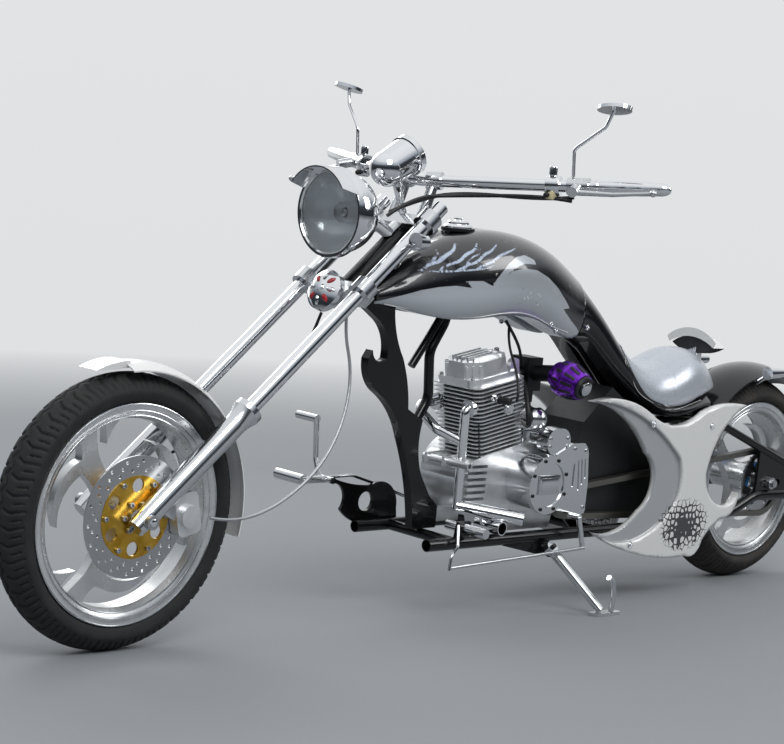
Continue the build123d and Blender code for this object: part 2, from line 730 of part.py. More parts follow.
@lru_cache(maxsize=None)
def cradle():
    """Both rails with the cross tubes between them and the side stand's bracket, welded up."""
    left, right = rails(RAIL_WALL)
    solid = rails()
    body = left + right
    for x in CROSS_X:
        bar = cross_bar(x, RAIL_Z, -RAIL_Y, RAIL_Y, CROSS_R)
        for rail in solid:
            bar -= rail
        body += main_solid(bar)
    x = STAND_PIVOT[0]
    plate = side_slab(outline((x + 148, RAIL_Z), [
        (None, (x + 150, 176)), (None, (x + 16, 146)), (None, (x - 18, 150)), (None, (x - 18, RAIL_Z)),
    ]), RAIL_Y - 6, RAIL_Y + 6)
    for rail in solid:
        plate -= rail
    body += plate
    for y in (-52, 44):
        mount = side_slab(outline((748, 192), [
            (None, (784, 192)), (None, (880, 270)), (None, (880, 320)), (None, (836, 320)),
        ]), y, y + 8)
        body += mount - cross_bar(760, RAIL_Z, -RAIL_Y, RAIL_Y, CROSS_R - 1)
    lug_t = 6.0
    lug = extrude(Circle(STAND_EYE_R - 1) + Pos(0, -20) * Rectangle(2 * STAND_EYE_R - 2, 40), lug_t)
    lug = stand_plane() * Pos(0, 0, -STAND_EYE_W / 2 - RUNNING_GAP - lug_t) * lug
    for rail in solid:
        lug -= rail
    body += lug
    body += stand_plane() * Pos(0, 0, STAND_RISE) * Cylinder(STAND_PIN_R, STAND_EYE_W + 2 * lug_t)
    return body


@lru_cache(maxsize=None)
def stays():
    """Upper stays with the axle plates between upper and lower tubes."""
    pair = []
    lower = rails()
    for side in (1, -1):
        out = side * RAIL_Y
        tube = pipe([
            (470, side * 18, 456), (390, side * 60, 474), (270, out, 464), (60, out, 391), (-100, out, 335),
        ], [60, 60, 400], STAY_R)
        tube -= spine()
        plate = side_slab(outline((60, 391), [
            (None, (-100, 335)),
            ((-146, 290), (-112, 252)),
            (None, (60, 256)),
        ]), out - 4, out + 4)
        plate -= side_slab(Pos(-10, REAR_TYRE_R) * SlotOverall(90, 2 * REAR_AXLE_R), out - 10, out + 10)
        for rail in lower:
            plate -= rail
        pair.append(main_solid(tube + plate))
    return pair


def rear_axle():
    """Axle with its nuts and the chain adjusters."""
    axle = cross_bar(0, REAR_TYRE_R, -RAIL_Y - 26, RAIL_Y + 26, REAR_AXLE_R)
    for side in (1, -1):
        y = side * (RAIL_Y + 4)
        axle += cross_bar(0, REAR_TYRE_R, y, y + side * 12, 17)
        hub = REAR_HUB_W / 2 if side < 0 else CHAIN_Y + SPROCKET_T / 2
        axle += cross_bar(0, REAR_TYRE_R, side * (hub + RUNNING_GAP), side * (RAIL_Y - 4), 15)
    return axle


def bore_plane():
    """On the crankcase at the foot of the cylinder, Z up along the leaning bore."""
    lean = radians(BORE_LEAN)
    across = (cos(lean), 0, -sin(lean))
    return Plane(origin=(BORE_X, 0, BORE_Z), x_dir=across, z_dir=(sin(lean), 0, cos(lean)))


def crankcase():
    """Case with a ribbed front corner, a spacer tube in front, and the drive sprocket's boss."""
    case = side_slab(outline((CRANK_X - 128, 236), [
        (None, (CRANK_X + 150, 236)),
        ((CRANK_X + 194, 270), (CRANK_X + 200, 330)),
        ((CRANK_X + 196, 372), (CRANK_X + 174, BORE_Z - 12)),
        (None, (CRANK_X + 20, BORE_Z + 18)),
        (None, (CRANK_X - 100, BORE_Z + 26)),
        ((CRANK_X - 168, 380), (CRANK_X - 172, 300)),
    ]), -96, CASE_LEFT)
    case += side_slab(outline((CRANK_X - 120, 200), [
        (None, (CRANK_X + 60, 200)),
        (None, (CRANK_X + 76, 236)),
        (None, (CRANK_X - 128, 236)),
    ]), -60, CASE_LEFT)
    case += cross_bar(CRANK_X + 90, 330, -128, -90, 82) + cross_bar(CRANK_X - 60, 330, -118, -90, 60)
    for k in range(CASE_SLOTS):
        case -= Pos(CRANK_X + 184, CASE_LEFT, 285 + SLOT_STEP * k) * Box(94, 60, SLOT_H)
    case += Pos(NECK_FOOT_X - 40, 0, 241) * Box(80, 22, 34)
    spacer_x, spacer_z = CRANK_X + 252, 376
    for y in (-34, 24):
        case += side_slab(outline((CRANK_X + 180, 352), [
            (None, (spacer_x + 12, spacer_z - 12)),
            (None, (spacer_x + 12, spacer_z + 12)),
            (None, (CRANK_X + 160, 396)),
        ]), y, y + 8)
    case += cross_bar(spacer_x, spacer_z, -46, 106, 9)
    case -= cross_bar(spacer_x, spacer_z, 60, 110, 6)
    drive_r = DRIVE_SPROCKET_R - CHAIN_H / 2 - 1.5
    case += cross_bar(DRIVE_X, DRIVE_Z, CASE_LEFT - 4, CHAIN_Y + SPROCKET_T / 2, drive_r)
    return main_solid(case)


def generator_cover():
    """Round barrel with a rimmed lid and its badge plate, left blank."""
    rim_w = 18.0
    barrel = cross_bar(CRANK_X, CRANK_Z, CASE_LEFT, COVER_Y - 12, COVER_R - 6)
    lid = cross_bar(CRANK_X, CRANK_Z, COVER_Y - 12, COVER_Y, COVER_R)
    lid -= cross_bar(CRANK_X, CRANK_Z, COVER_Y - 3, COVER_Y + 5, COVER_R - rim_w)
    lid += side_slab(Pos(CRANK_X, CRANK_Z) * Rectangle(74, 46), COVER_Y - 3, COVER_Y + 1)
    return barrel + lid


def sprocket_cover():
    """Angular cover behind the generator, over the chain, with its slots."""
    outer_y = 126.0
    shield = side_slab(outline((CRANK_X - 46, 400), [
        (None, (CRANK_X - 106, 427)),
        (None, (CRANK_X - 150, 427)),
        ((CRANK_X - 166, 410), (CRANK_X - 171, 387)),
        (None, (CRANK_X - 180, 322)),
        (None, (CRANK_X - 180, 260)),
        ((CRANK_X - 178, 248), (CRANK_X - 164, 244)),
        (None, (CRANK_X - 46, 262)),
    ]), COVER_Y - 58, outer_y)
    shield -= cross_bar(CRANK_X, CRANK_Z, 80, COVER_Y + 10, COVER_R - 6)
    shield -= chain_space()
    shield -= side_slab(Pos(CRANK_X - 118, 345) * SlotOverall(60, 7, rotation=90), outer_y - 5, outer_y + 1)
    for k in range(3):
        groove = Pos(CRANK_X - 138 - 12 * k, 345 + 8 * k) * SlotOverall(80 - 14 * k, 5, rotation=82)
        shield -= side_slab(groove, outer_y - 3, outer_y + 1)
    return main_solid(shield)


def cylinder():
    """Leaning barrel and head as one stack of fins, with the steady lugs behind the head."""
    rows = BARREL_FINS + HEAD_FINS
    stack = extrude(Rectangle(FIN_X - 36, FIN_Y - 36), FIN_STEP * rows)
    for k in range(rows):
        grow = 0 if k < BARREL_FINS else HEAD_GROW
        sheet = RectangleRounded(FIN_X + grow, FIN_Y + grow, 22)
        stack += Pos(0, 0, FIN_STEP * (k + 0.7)) * extrude(sheet, FIN_T)
    top = FIN_STEP * rows
    lug = outline((-84, top - 24), [
        (None, (-52, top - 24)),
        (None, (-52, top + 20)),
        ((-62, top + 44), (-84, top + 38)),
    ])
    lug -= Pos(-70, top + 26) * Circle(6)
    for y in (-58, 46):
        stack += side_slab(lug, y, y + 12)
    return bore_plane() * stack


def head_cover():
    """Eight-sided cover with ribs on top and on its front corners."""
    top = FIN_STEP * (BARREL_FINS + HEAD_FINS)
    long, wide, corner = FIN_X - 14, FIN_Y - 26, 34.0
    centre = 6.0
    lid = Pos(centre, 0, top) * extrude(RectangleRounded(long + 12, wide + 12, 26), LID_FLANGE)
    dome_face = chamfer(Rectangle(long, wide).vertices(), corner)
    crown = top + LID_FLANGE
    lid += Pos(centre, 0, crown) * extrude(dome_face, LID_DOME, taper=7)
    for k in range(5):
        y = 17.0 * (k - 2)
        lid += Pos(centre, y, crown + LID_DOME - 1) * Box(
            long - 44 - 6 * abs(k - 2), 6, LID_RIB + 1, align=STANDING)
    for side in (1, -1):
        for k in (-1, 0, 1):
            x = centre + (long - corner) / 2 - 12 * k
            y = side * ((wide - corner) / 2 + 12 * k)
            lid += Pos(x, y, crown - 1) * Rot(0, 0, side * 45) * Box(9, 5, LID_DOME - 6, align=STANDING)
    return bore_plane() * lid


def starter_motor():
    """Motor behind the barrel with its domed end and the oval cap over its gears."""
    x, z, r = CRANK_X - 26, 478.0, 32.0
    end_y = 66.0
    motor = cross_bar(x, z, -66, end_y, r)
    edge = (r, 0.0)
    end = revolve(Plane.XZ * outline((0, -6), [
        (None, (r, -6)),
        (None, edge),
        (dome(edge, 22), (0, 22)),
    ]), Axis.Z)
    motor += Plane(origin=(x, end_y, z), z_dir=(0, 1, 0)) * end
    motor += Pos(x, 0, 432) * Box(40, 80, 40)
    cap_x, cap_z = CRANK_X - 52, 431
    oval = side_slab(Pos(cap_x, cap_z) * SlotOverall(88, 68), 86, 122)
    oval += side_slab(Pos(cap_x, cap_z) * SlotOverall(64, 48), 50, 88)
    return motor + oval


def intake():
    """Carburettor behind the head, and the round filter on its elbow."""
    top = FIN_STEP * (BARREL_FINS + HEAD_FINS)
    port = bore_plane().from_local_coords(Vector(-FIN_X / 2 - 4, 0, top - 14))
    body_at = port + Vector(-84, 0, 10)
    mouth = Vector(952, 86, 598)
    out = Vector(-0.02, 0.97, -0.24).normalized()
    carb = round_bar(port + Vector(14, 0, 0), port + Vector(-62, 0, 8), 20)
    carb += Pos(*body_at) * Box(52, 62, 84)
    carb += Pos(body_at.X, 0, body_at.Z - 52) * Cylinder(24, 40)
    carb += round_bar(body_at, mouth, 21)
    section = outline((0, SEAT_GAP), [
        (None, (32, SEAT_GAP)),
        (None, (32, 12)),
        (None, (44, 20)),
        ((47, 34), (45, 52)),
        (None, (33, 92)),
        (None, (28, 96)),
        (None, (18, 96)),
        (None, (18, 106)),
        (None, (0, 106)),
    ])
    filt = Plane(origin=mouth, z_dir=out) * revolve(Plane.XZ * section, Axis.Z)
    clear = Plane(origin=mouth, z_dir=out) * Pos(0, 0, 60) * Box(140, 140, 120)
    return carb - clear, filt


def engine_parts():
    parts = {}
    parts["crankcase"] = crankcase()
    parts["cylinder"] = cylinder() - parts["crankcase"]
    parts["head_cover"] = head_cover() - parts["cylinder"]
    parts["engine_covers"] = [generator_cover(), sprocket_cover()]
    starter = starter_motor() - parts["crankcase"] - parts["cylinder"]
    for cover in parts["engine_covers"]:
        starter -= cover
    parts["starter_motor"] = main_solid(starter)
    carb, filt = intake()
    parts["carburettor"] = main_solid(carb - parts["cylinder"] - parts["head_cover"])
    parts["air_filter"] = filt
    return parts


def exhaust():
    """Two header pipes that join in front of the engine and end in two open tubes to the left."""
    left = pipe([
        (1206, PORT_Y, 512), (1240, PORT_Y, 508), (1238, PORT_Y, 440), (1227, 52, 262),
    ], [18, 120], HEADER_R)
    right = pipe([
        (1206, -PORT_Y, 512), (1296, -60, 500), (1286, 10, 452), (1236, 52, 424),
    ], [30, 24], HEADER_R)
    body = left + right
    for side in (1, -1):
        body += round_bar((1222, side * PORT_Y, 510), (1233, side * PORT_Y, 508), 21)
    outlets = (
        ((1228, 50, 268), (1118, 172, 254)),
        ((1165, 70, 229), (1165, 150, 229)),
    )
    for start, end in outlets:
        body += round_bar(start, end, OUTLET_R)
    body += side_slab(Pos(1173, 245) * Rot(0, 0, 63) * SlotOverall(70, 30), 94, 104)
    for start, end in outlets:
        depth = (Vector(*end) - Vector(*start)).normalized() * 70
        body -= round_bar(Vector(*end) - depth, Vector(*end) + depth, OUTLET_R - OUTLET_WALL)
    return body


TANK = (
    # x, top, bottom, half width
    (1560, 790, 752, 34),
    (1470, 852, 740, 84),
    (1370, 905, 728, 116),
    (1230, 936, 738, 130),
    (1080, 926, 736, 124),
    (950, 884, 694, 104),
    (876, 842, 690, 92),
)
COVER = (
    (876, 842, 690, 92),
    (780, 764, 652, 92),
    (690, 680, 582, 96),
    (600, 600, 528, 101),
    (500, 546, 486, 105),
    (390, 530, 488, 104),
    (290, 545, 500, 92),
)
SADDLE = (
    (690, 686, 582, 97),
    (640, 645, 550, 99),
    (560, 608, 510, 103),
    (490, 614, 490, 106),
    (420, 642, 490, 107),
    (345, 657, 492, 96),
    (280, 628, 500, 78),
    (240, 592, 510, 60),
)


def body_section(x, top, bottom, half, crown):
    """A closed section across the machine at x: flat below, round above."""
    waist = bottom + (top - bottom) * crown
    flank = (bottom + waist) / 2
    rows = [
        (None, (half * 0.8, bottom)),
        ((half * 0.98, flank), (half, waist)),
        ((half * 0.72, waist + (top - waist) * 0.78), (0, top)),
        ((-half * 0.72, waist + (top - waist) * 0.78), (-half, waist)),
        ((-half * 0.98, flank), (-half * 0.8, bottom)),
    ]
    return Plane(origin=(x, 0, 0), x_dir=(0, 1, 0), z_dir=(1, 0, 0)) * outline((-half * 0.8, bottom), rows)


def fuel_tank():
    body = loft([body_section(*row, 0.45) for row in TANK])
    body -= neck()
    body -= pipe(SPINE, SPINE_BENDS, SPINE_R + 1)
    tunnel = side_slab(outline((1620, 700), [
        (None, (1620, 800)), (None, (1500, 826)), (None, (1320, 842)), (None, (1050, 800)),
        (None, (860, 714)), (None, (860, 660)),
    ]), -SPINE_R - 1, SPINE_R + 1)
    body -= tunnel
    return main_solid(body - round_bar(on_stem(LOWER_YOKE_T - 40), on_stem(UPPER_YOKE_T + 60), HEAD_R + 8))


@lru_cache(maxsize=None)
def under_saddle(gap):
    """Everything ahead of and below the line on which the saddle rests, as wide as the machine."""
    face = outline((760, 760), [
        (None, (690, 668)),
        ((646, 590), (585, 538)),
        ((470, 512), (370, 534)),
        (None, (200, 566)),
        (None, (200, 100)),
        (None, (760, 100)),
    ])
    return side_slab(Pos(-gap, gap) * face, -400, 400)


@lru_cache(maxsize=None)
def rear_cover():
    """Painted shell that runs from the tank down under the saddle."""
    body = loft([body_section(*row, 0.4) for row in COVER])
    ahead = Pos(860, 0, 600) * Box(200, 600, 900)
    body = main_solid(body & (under_saddle(0) + ahead))
    body -= pipe(SPINE, SPINE_BENDS, SPINE_R + 1)
    under = side_slab(outline((900, 600), [
        (None, (900, 732)), (None, (760, 668)), (None, (520, 470)), (None, (380, 400)),
    ]), -SPINE_R - 1, SPINE_R + 1)
    return main_solid(body - under)


@lru_cache(maxsize=None)
def saddle():
    """Padded seat with a raised tail, resting on the rear cover."""
    body = loft([body_section(*row, 0.4) for row in SADDLE])
    return main_solid(body - under_saddle(SEAT_GAP) - pipe(SPINE, SPINE_BENDS, SPINE_R + 1))


def side_panels():
    """Crescent side panels that hold the rear of the cradle, one to each side."""
    face = outline((875, 536), [
        ((752, 541), (616, 494)),
        ((500, 469), (390, 504)),
        ((300, 523), (207, 520)),
        ((320, 430), (357, 337)),
        ((318, 262), (262, 243)),
        ((222, 248), (196, 276)),
        ((204, 236), (262, 208)),
        ((312, 180), (341, 151)),
        ((358, 122), (410, 113)),
        ((600, 126), (787, 186)),
        (None, (812, 199)),
        ((700, 200), (623, 245)),
        ((575, 320), (620, 395)),
        ((740, 497), (875, 536)),
    ])
    bevel = outline((880, 540), [
        ((642, 485), (480, 379)),
        ((463, 317), (480, 255)),
        ((600, 178), (820, 200)),
        (None, (812, 199)),
        ((700, 200), (623, 245)),
        ((575, 320), (620, 395)),
        ((740, 497), (875, 536)),
    ])
    outer_y = PANEL_Y + PANEL_T
    left = side_slab(face, PANEL_Y, outer_y) - side_slab(bevel, outer_y - BEVEL_DEPTH, outer_y + 5)
    for x, z in ((600, RAIL_Z), (262, 461)):
        left += cross_bar(x, z, RAIL_Y - 12, PANEL_Y, 9)
    for piece in rails() + stays() + [rear_cover()]:
        left -= piece
    left = main_solid(left)
    return [left, mirror(left, about=Plane.XZ)]


@lru_cache(maxsize=None)
def rear_fender():
    """Short painted fender over the rear tyre, carried by the seat cover."""
    r = REAR_TYRE_R + 40
    skin = 4.0
    half = 84.0
    section = outline((r - 26, half), [
        ((r, 0), (r - 26, -half)),
        (None, (r - 26 - skin, -half)),
        ((r - skin, 0), (r - 26 - skin, half)),
    ])
    blade = Pos(0, 0, REAR_TYRE_R) * Rot(0, -126, 0) * revolve(section, Axis.Y, revolution_arc=86)
    strut = Pos(262, 0, 520) * Box(94, 60, 34)
    body = blade + strut
    return main_solid(body - rear_cover() - saddle())


def rear_lamps():
    """Tail lamp on its stalk, and the two bullet signals."""
    lamp_x = 252.0
    half, low, high = 82.0, 668.0, 712.0
    shade = outline((-half, low + 12), [
        ((0, high), (half, low + 12)),
        (None, (half - 8, low)),
        ((0, high - 20), (8 - half, low)),
    ])
    lens = outline((12 - half, low - 4), [
        ((0, high - 22), (half - 12, low - 4)),
        ((0, low - 26), (12 - half, low - 4)),
    ])
    across = Plane(origin=(lamp_x, 0, 0), x_dir=(0, 1, 0), z_dir=(1, 0, 0))
    lamp = across * Pos(0, 0, -34) * extrude(shade, 68) + across * Pos(0, 0, -26) * extrude(lens, 52)
    lamp += round_bar((lamp_x, 0, 560), (lamp_x, 0, 660), 12)
    signals = []
    for side in (1, -1):
        stalk = round_bar((74, side * 84, 570), (70, side * 130, 604), 6)
        bullet = round_bar((96, side * 132, 604), (20, side * 132, 606), 18, 12)
        signals.append(stalk + bullet)
    return (lamp - rear_fender() - saddle() - rear_cover()).solids().sort_by(SortBy.VOLUME)[-1], signals


def battery_box():
    """Dark box between engine and rear wheel with the electrics."""
    box = side_slab(outline((800, 226), [
        (None, (800, 470)),
        (None, (700, 560)),
        (None, (520, 452)),
        (None, (420, 440)),
        ((340, 360), (330, 250)),
        (None, (330, 226)),
    ]), -70, 70)
    clear = cross_bar(0, REAR_TYRE_R, -200, 200, REAR_TYRE_R + 26)
    box -= clear
    box -= chain_space()
    for piece in [spine(), rear_cover()] + stays():
        box -= piece
    box -= cradle()
    return main_solid(box)


@lru_cache(maxsize=None)
def chain_space():
    return side_slab(outline((-120, 160), [
        (None, (-120, 420)), (None, (960, 330)), (None, (960, 200)),
    ]), CHAIN_Y - CHAIN_W / 2 - 6, CHAIN_Y + CHAIN_W / 2 + 6)


def foot_controls():
    """Right control plate with its peg and brake pedal, and the left peg."""
    y0 = -RAIL_Y - 8
    plate = outline((1250, 196), [
        (None, (1256, 232)),
        ((1290, 292), (1350, 292)),
        ((1410, 296), (1484, 314)),
        (None, (1486, 300)),
        ((1440, 262), (1450, 236)),
        ((1420, 212), (1390, 200)),
    ])
    plate -= Pos(1366, 252) * Circle(24)
    body = side_slab(plate, y0 - 8, y0)
    body += cross_bar(1478, 306, y0 - 60, y0 - 4, 8)
    body += round_bar((1480, y0 - 30, 306), (1560, y0 - 30, 306), 9)
    body += cross_bar(1552, 306, y0 - 124, y0 - 30, 13)
    pedal_y = y0 - 74
    body += round_bar((1478, y0 - 56, 306), (1478, pedal_y, 350), 7)
    body += round_bar((1478, pedal_y, 350), (1488, pedal_y, 446), 7)
    body += cross_bar(1490, 446, pedal_y - 64, pedal_y + 6, 10)
    body += pipe([
        (1478, y0 - 20, 312), (1410, y0 - 14, 316), (1320, y0 - 10, 290), (1226, y0 - 8, 258),
    ], [60, 200], 4)
    body -= cradle()
    left_y = RAIL_Y + 4
    peg = cross_bar(1262, 228, left_y - 60, left_y + 66, 12) + side_slab(outline((1240, 196), [
        (None, (1240, 244)), (None, (1282, 244)), (None, (1290, 196)),
    ]), left_y - 14, left_y - 4)
    peg -= cradle()
    return [main_solid(body), main_solid(peg)]


def gear_linkage():
    """Shift pedal rod on the left and the long link back to the gear shaft."""
    arm = pipe([(1300, 128, 240), (1318, 150, 192), (1376, 186, 188), (1384, 190, 150)], [12, 14], 4)
    link = round_bar((1380, 190, 156), (868, 172, 168), 4)
    lever = round_bar((886, 158, 244), (870, 168, 166), 7)
    shaft = cross_bar(886, 244, 126, 162, 8)
    body = arm + link + lever + shaft
    return body


def side_stand():
    """Leg from the pivot to the foot, with its eye, foot plate and the tang for the rider's heel."""
    pivot = Vector(*STAND_PIVOT)
    foot = Vector(*STAND_FOOT)
    lean_up = Vector(0, -sin(radians(LEAN)), cos(radians(LEAN)))
    ankle = foot + lean_up * 12
    leg = round_bar(pivot, ankle, STAND_R + 2, STAND_R)
    eye = stand_plane() * Cylinder(STAND_EYE_R, STAND_EYE_W)
    ground = Plane(origin=foot, x_dir=(1, 0, 0), z_dir=lean_up)
    pad = ground * Pos(-16, 0, 0) * extrude(RectangleRounded(92, 40, 14), 8)
    tang = ground * Pos(-30, 8, 0) * pipe([(0, 0, 4), (-4, 4, 50), (8, 8, 84), (26, 10, 96)], [40, 14], 7)
    body = leg - stand_plane() * Cylinder(STAND_EYE_R, STAND_EYE_W) + eye + pad + tang
    face = STAND_EYE_W / 2
    body -= stand_plane() * Pos(0, 0, -face - 50) * Cylinder(STAND_EYE_R + 30, 100)
    body -= stand_plane() * Pos(0, 0, face + 10) * Cylinder(STAND_EYE_R + 4, 20)
    return main_solid(body - stand_plane() * Cylinder(STAND_PIN_R + RUNNING_GAP, 3 * STAND_EYE_W))


def hoses():
    """Brake hose, speedometer cable and the control cables under the left bar."""
    parts = {}
    y = LEG_Y + 24
    parts["brake_hose"] = pipe([
        (2052, 96, 292), (2000, 112, 282), (1890, 122, 310), (1770, 122, 390),
        (1690, 100, 490), (1655, 75, 600), (1682, 60, 700), (1676, 60, 769.1),
    ], [40, 160, 200, 220, 200, 120], 3.6)
    parts["speedo_cable"] = pipe([
        (2184, -65.2, 330), (2100, -66, 380), (1960, -70, 430),
        (1800, -66, 500), (1690, -56, 600), (1650, -50, 720),
    ], [120, 200, 220, 200], 3.6)
    a, b = bar_point(80, -26), bar_point(420, -22)
    parts["control_cables"] = pipe([
        (1560, 40, 960), (1500, 60, 1000), (a.X, 100, a.Z),
        (b.X + 62, 300, b.Z - 16), (b.X + 35.4, 353.4, b.Z - 12.6),
    ], [40, 60, 60], 9)
    return parts


def build_nodes():
    nodes = {}
    for name, piece in front_parts().items():
        nodes[name] = Pos(WHEELBASE, 0, FRONT_TYRE_R) * piece
    for name, piece in rear_parts().items():
        nodes[name] = Pos(0, 0, REAR_TYRE_R) * piece
    nodes["chain"] = chain()
    nodes.update(fork_parts())
    nodes.update(handlebar_parts())
    nodes.update(lamp_parts())
    nodes["front_fender"] = front_fender()
    nodes["front_caliper"] = brake_caliper()
    nodes["frame_neck"] = neck()
    nodes["frame_spine"] = spine()
    nodes["frame_cradle"] = cradle()
    nodes["rear_stays"] = stays()
    nodes["rear_axle"] = rear_axle()
    for plate in nodes["rear_stays"]:
        nodes["rear_axle"] -= plate
    nodes.update(engine_parts())
    nodes["headlight"] = main_solid(nodes["headlight"] + nodes.pop("lamp_bracket"))
    nodes["upper_yoke"] = main_solid(nodes["upper_yoke"] + nodes.pop("handlebar_risers"))
    nodes["front_brake_disc"] = [nodes.pop("front_disc"), nodes.pop("front_disc_carrier")]
    nodes["frame_cradle"] = main_solid(nodes["frame_cradle"] - nodes["crankcase"])
    nodes["exhaust"] = main_solid(exhaust() - nodes["cylinder"] - nodes["crankcase"])
    nodes["fuel_tank"] = fuel_tank()
    nodes["fuel_cap"] = Pos(FILLER_X, 0, FILLER_Z) * Cylinder(34, 26) - nodes["fuel_tank"]
    nodes["rear_cover"] = rear_cover()
    nodes["saddle"] = saddle()
    nodes["side_panels"] = side_panels()
    nodes["rear_fender"] = rear_fender()
    lamp, signals = rear_lamps()
    nodes["rear_lamps"] = [lamp] + signals
    nodes["battery_box"] = battery_box()
    nodes["foot_controls"] = foot_controls()
    nodes["foot_controls"].append(gear_linkage())
    nodes["side_stand"] = side_stand()
    nodes["front_cables"] = list(hoses().values())
    return nodes


def write(nodes):
    """Leans every node over, then sets the machine on the ground over the origin."""
    os.makedirs("parts", exist_ok=True)
    lean = Rot(-LEAN, 0, 0)
    placed = {}
    for name, piece in nodes.items():
        solids = []
        for item in piece if isinstance(piece, list) else [piece]:
            solids.extend((lean * item).solids())
        placed[name] = solids
    boxes = [solid.bounding_box() for solids in placed.values() for solid in solids]
    mid_x = (min(box.min.X for box in boxes) + max(box.max.X for box in boxes)) / 2
    mid_y = (min(box.min.Y for box in boxes) + max(box.max.Y for box in boxes)) / 2
    low_z = min(box.min.Z for box in boxes)
    shift = Pos(-mid_x, -mid_y, -low_z)
    print("shift", round(-mid_x, 3), round(-mid_y, 3), round(-low_z, 3))
    for name, solids in placed.items():
        solids = [shift * solid for solid in solids]
        piece = Compound(children=solids) if len(solids) > 1 else solids[0]
        export_step(piece, f"parts/{name}.step")
        print(name, len(solids), round(piece.volume / 1000, 1))


write(build_nodes())
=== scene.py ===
"""A long, low chopper motorcycle on its side stand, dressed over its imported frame.

Pieces are drawn upright in millimetres, X forward and Y to the left, with the rear axle over the
origin and the ground at Z = 0, as the machine is designed. BIKE leans and sets them down in metres.
"""
import math

import bmesh
import bpy
from mathutils import Matrix, Vector
from mathutils.bvhtree import BVHTree


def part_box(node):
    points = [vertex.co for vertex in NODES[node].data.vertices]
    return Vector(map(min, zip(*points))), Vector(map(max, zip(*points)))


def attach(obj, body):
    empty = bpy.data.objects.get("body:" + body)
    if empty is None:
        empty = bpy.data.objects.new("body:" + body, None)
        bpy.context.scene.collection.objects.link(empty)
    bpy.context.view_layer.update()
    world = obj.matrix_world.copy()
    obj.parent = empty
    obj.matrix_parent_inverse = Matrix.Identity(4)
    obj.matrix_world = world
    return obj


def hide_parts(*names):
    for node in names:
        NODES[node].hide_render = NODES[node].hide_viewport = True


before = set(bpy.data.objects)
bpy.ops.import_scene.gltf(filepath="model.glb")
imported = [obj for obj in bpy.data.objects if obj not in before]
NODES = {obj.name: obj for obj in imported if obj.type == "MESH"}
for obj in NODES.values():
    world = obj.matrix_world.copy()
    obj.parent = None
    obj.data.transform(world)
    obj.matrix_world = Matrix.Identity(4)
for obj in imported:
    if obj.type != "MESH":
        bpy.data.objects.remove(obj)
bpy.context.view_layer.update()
MM = 0.001
TURN = 2 * math.pi

LEAN_DEG = -5.0
REAR_TYRE_R, FRONT_TYRE_R = 289.0, 296.0
WHEELBASE = 2228.0
low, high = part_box("rear_tyre")
LEAN = Matrix.Rotation(math.radians(LEAN_DEG), 4, "X") @ Matrix.Scale(MM, 4)
BIKE_AT = (low + high) / 2 - LEAN @ Vector((0, 0, REAR_TYRE_R))
BIKE = Matrix.Translation(BIKE_AT) @ LEAN
UPRIGHT = BIKE.inverted()
ACROSS = Matrix.Rotation(math.radians(-90), 4, "X")          # local Z to the machine's left
FRONT_HUB = Matrix.Translation((WHEELBASE, 0, FRONT_TYRE_R)) @ ACROSS
REAR_HUB = Matrix.Translation((0, 0, REAR_TYRE_R)) @ ACROSS
BORE_LEAN = 11.0
BORE = Matrix.Translation((1108, 0, 398)) @ Matrix.Rotation(math.radians(BORE_LEAN), 4, "Y")
FIN_STACK = 180.0


def linear(code):
    """A six-digit sRGB hex colour as linear RGBA."""
    channels = [int(code[k:k + 2], 16) / 255 for k in (0, 2, 4)]
    return [c / 12.92 if c <= 0.04045 else ((c + 0.055) / 1.055) ** 2.4 for c in channels] + [1.0]


def add(tree, kind, settings=None, links=None):
    """Adds a node, with its settings and with its inputs as values or as other nodes' sockets."""
    made = tree.nodes.new(kind)
    for name, value in (settings or {}).items():
        setattr(made, name, value)
    for name, value in (links or {}).items():
        if isinstance(value, bpy.types.NodeSocket):
            tree.links.new(value, made.inputs[name])
        else:
            made.inputs[name].default_value = value
    return made


def finish(name, colour, rough, metal=0.0, **extra):
    """A material with one shader, its constant values set on the shader's own sockets."""
    mat = bpy.data.materials.new(name)
    mat.use_nodes = True
    tree = mat.node_tree
    tree.nodes.clear()
    shader = add(tree, "ShaderNodeBsdfPrincipled", None, {
        "Base Color": linear(colour), "Roughness": rough, "Metallic": metal,
    })
    for key, value in extra.items():
        shader.inputs[key.replace("_", " ")].default_value = value
    add(tree, "ShaderNodeOutputMaterial", None, {"Surface": shader.outputs[0]})
    return mat, tree, shader


def grain(tree, shader, spacing_mm, height_mm, rough_from, rough_to, stretch=(1, 1, 1)):
    """Fine relief and uneven gloss at a real spacing, on the object's own coordinates."""
    place = add(tree, "ShaderNodeTexCoord")
    turn = add(tree, "ShaderNodeMapping", None, {"Vector": place.outputs["Object"], "Scale": stretch})
    fine = add(tree, "ShaderNodeTexNoise", None, {
        "Vector": turn.outputs[0], "Scale": 1 / (spacing_mm * MM), "Detail": 3.0,
    })
    bump = add(tree, "ShaderNodeBump", None, {
        "Height": fine.outputs["Fac"], "Distance": height_mm * MM, "Strength": 1.0,
    })
    tree.links.new(bump.outputs[0], shader.inputs["Normal"])
    broad = add(tree, "ShaderNodeTexNoise", None, {
        "Vector": place.outputs["Object"], "Scale": 1 / (spacing_mm * 30 * MM), "Detail": 4.0,
    })
    spread = add(tree, "ShaderNodeMapRange", None, {
        "Value": broad.outputs["Fac"], "To Min": rough_from, "To Max": rough_to,
    })
    tree.links.new(spread.outputs[0], shader.inputs["Roughness"])
    return place, broad


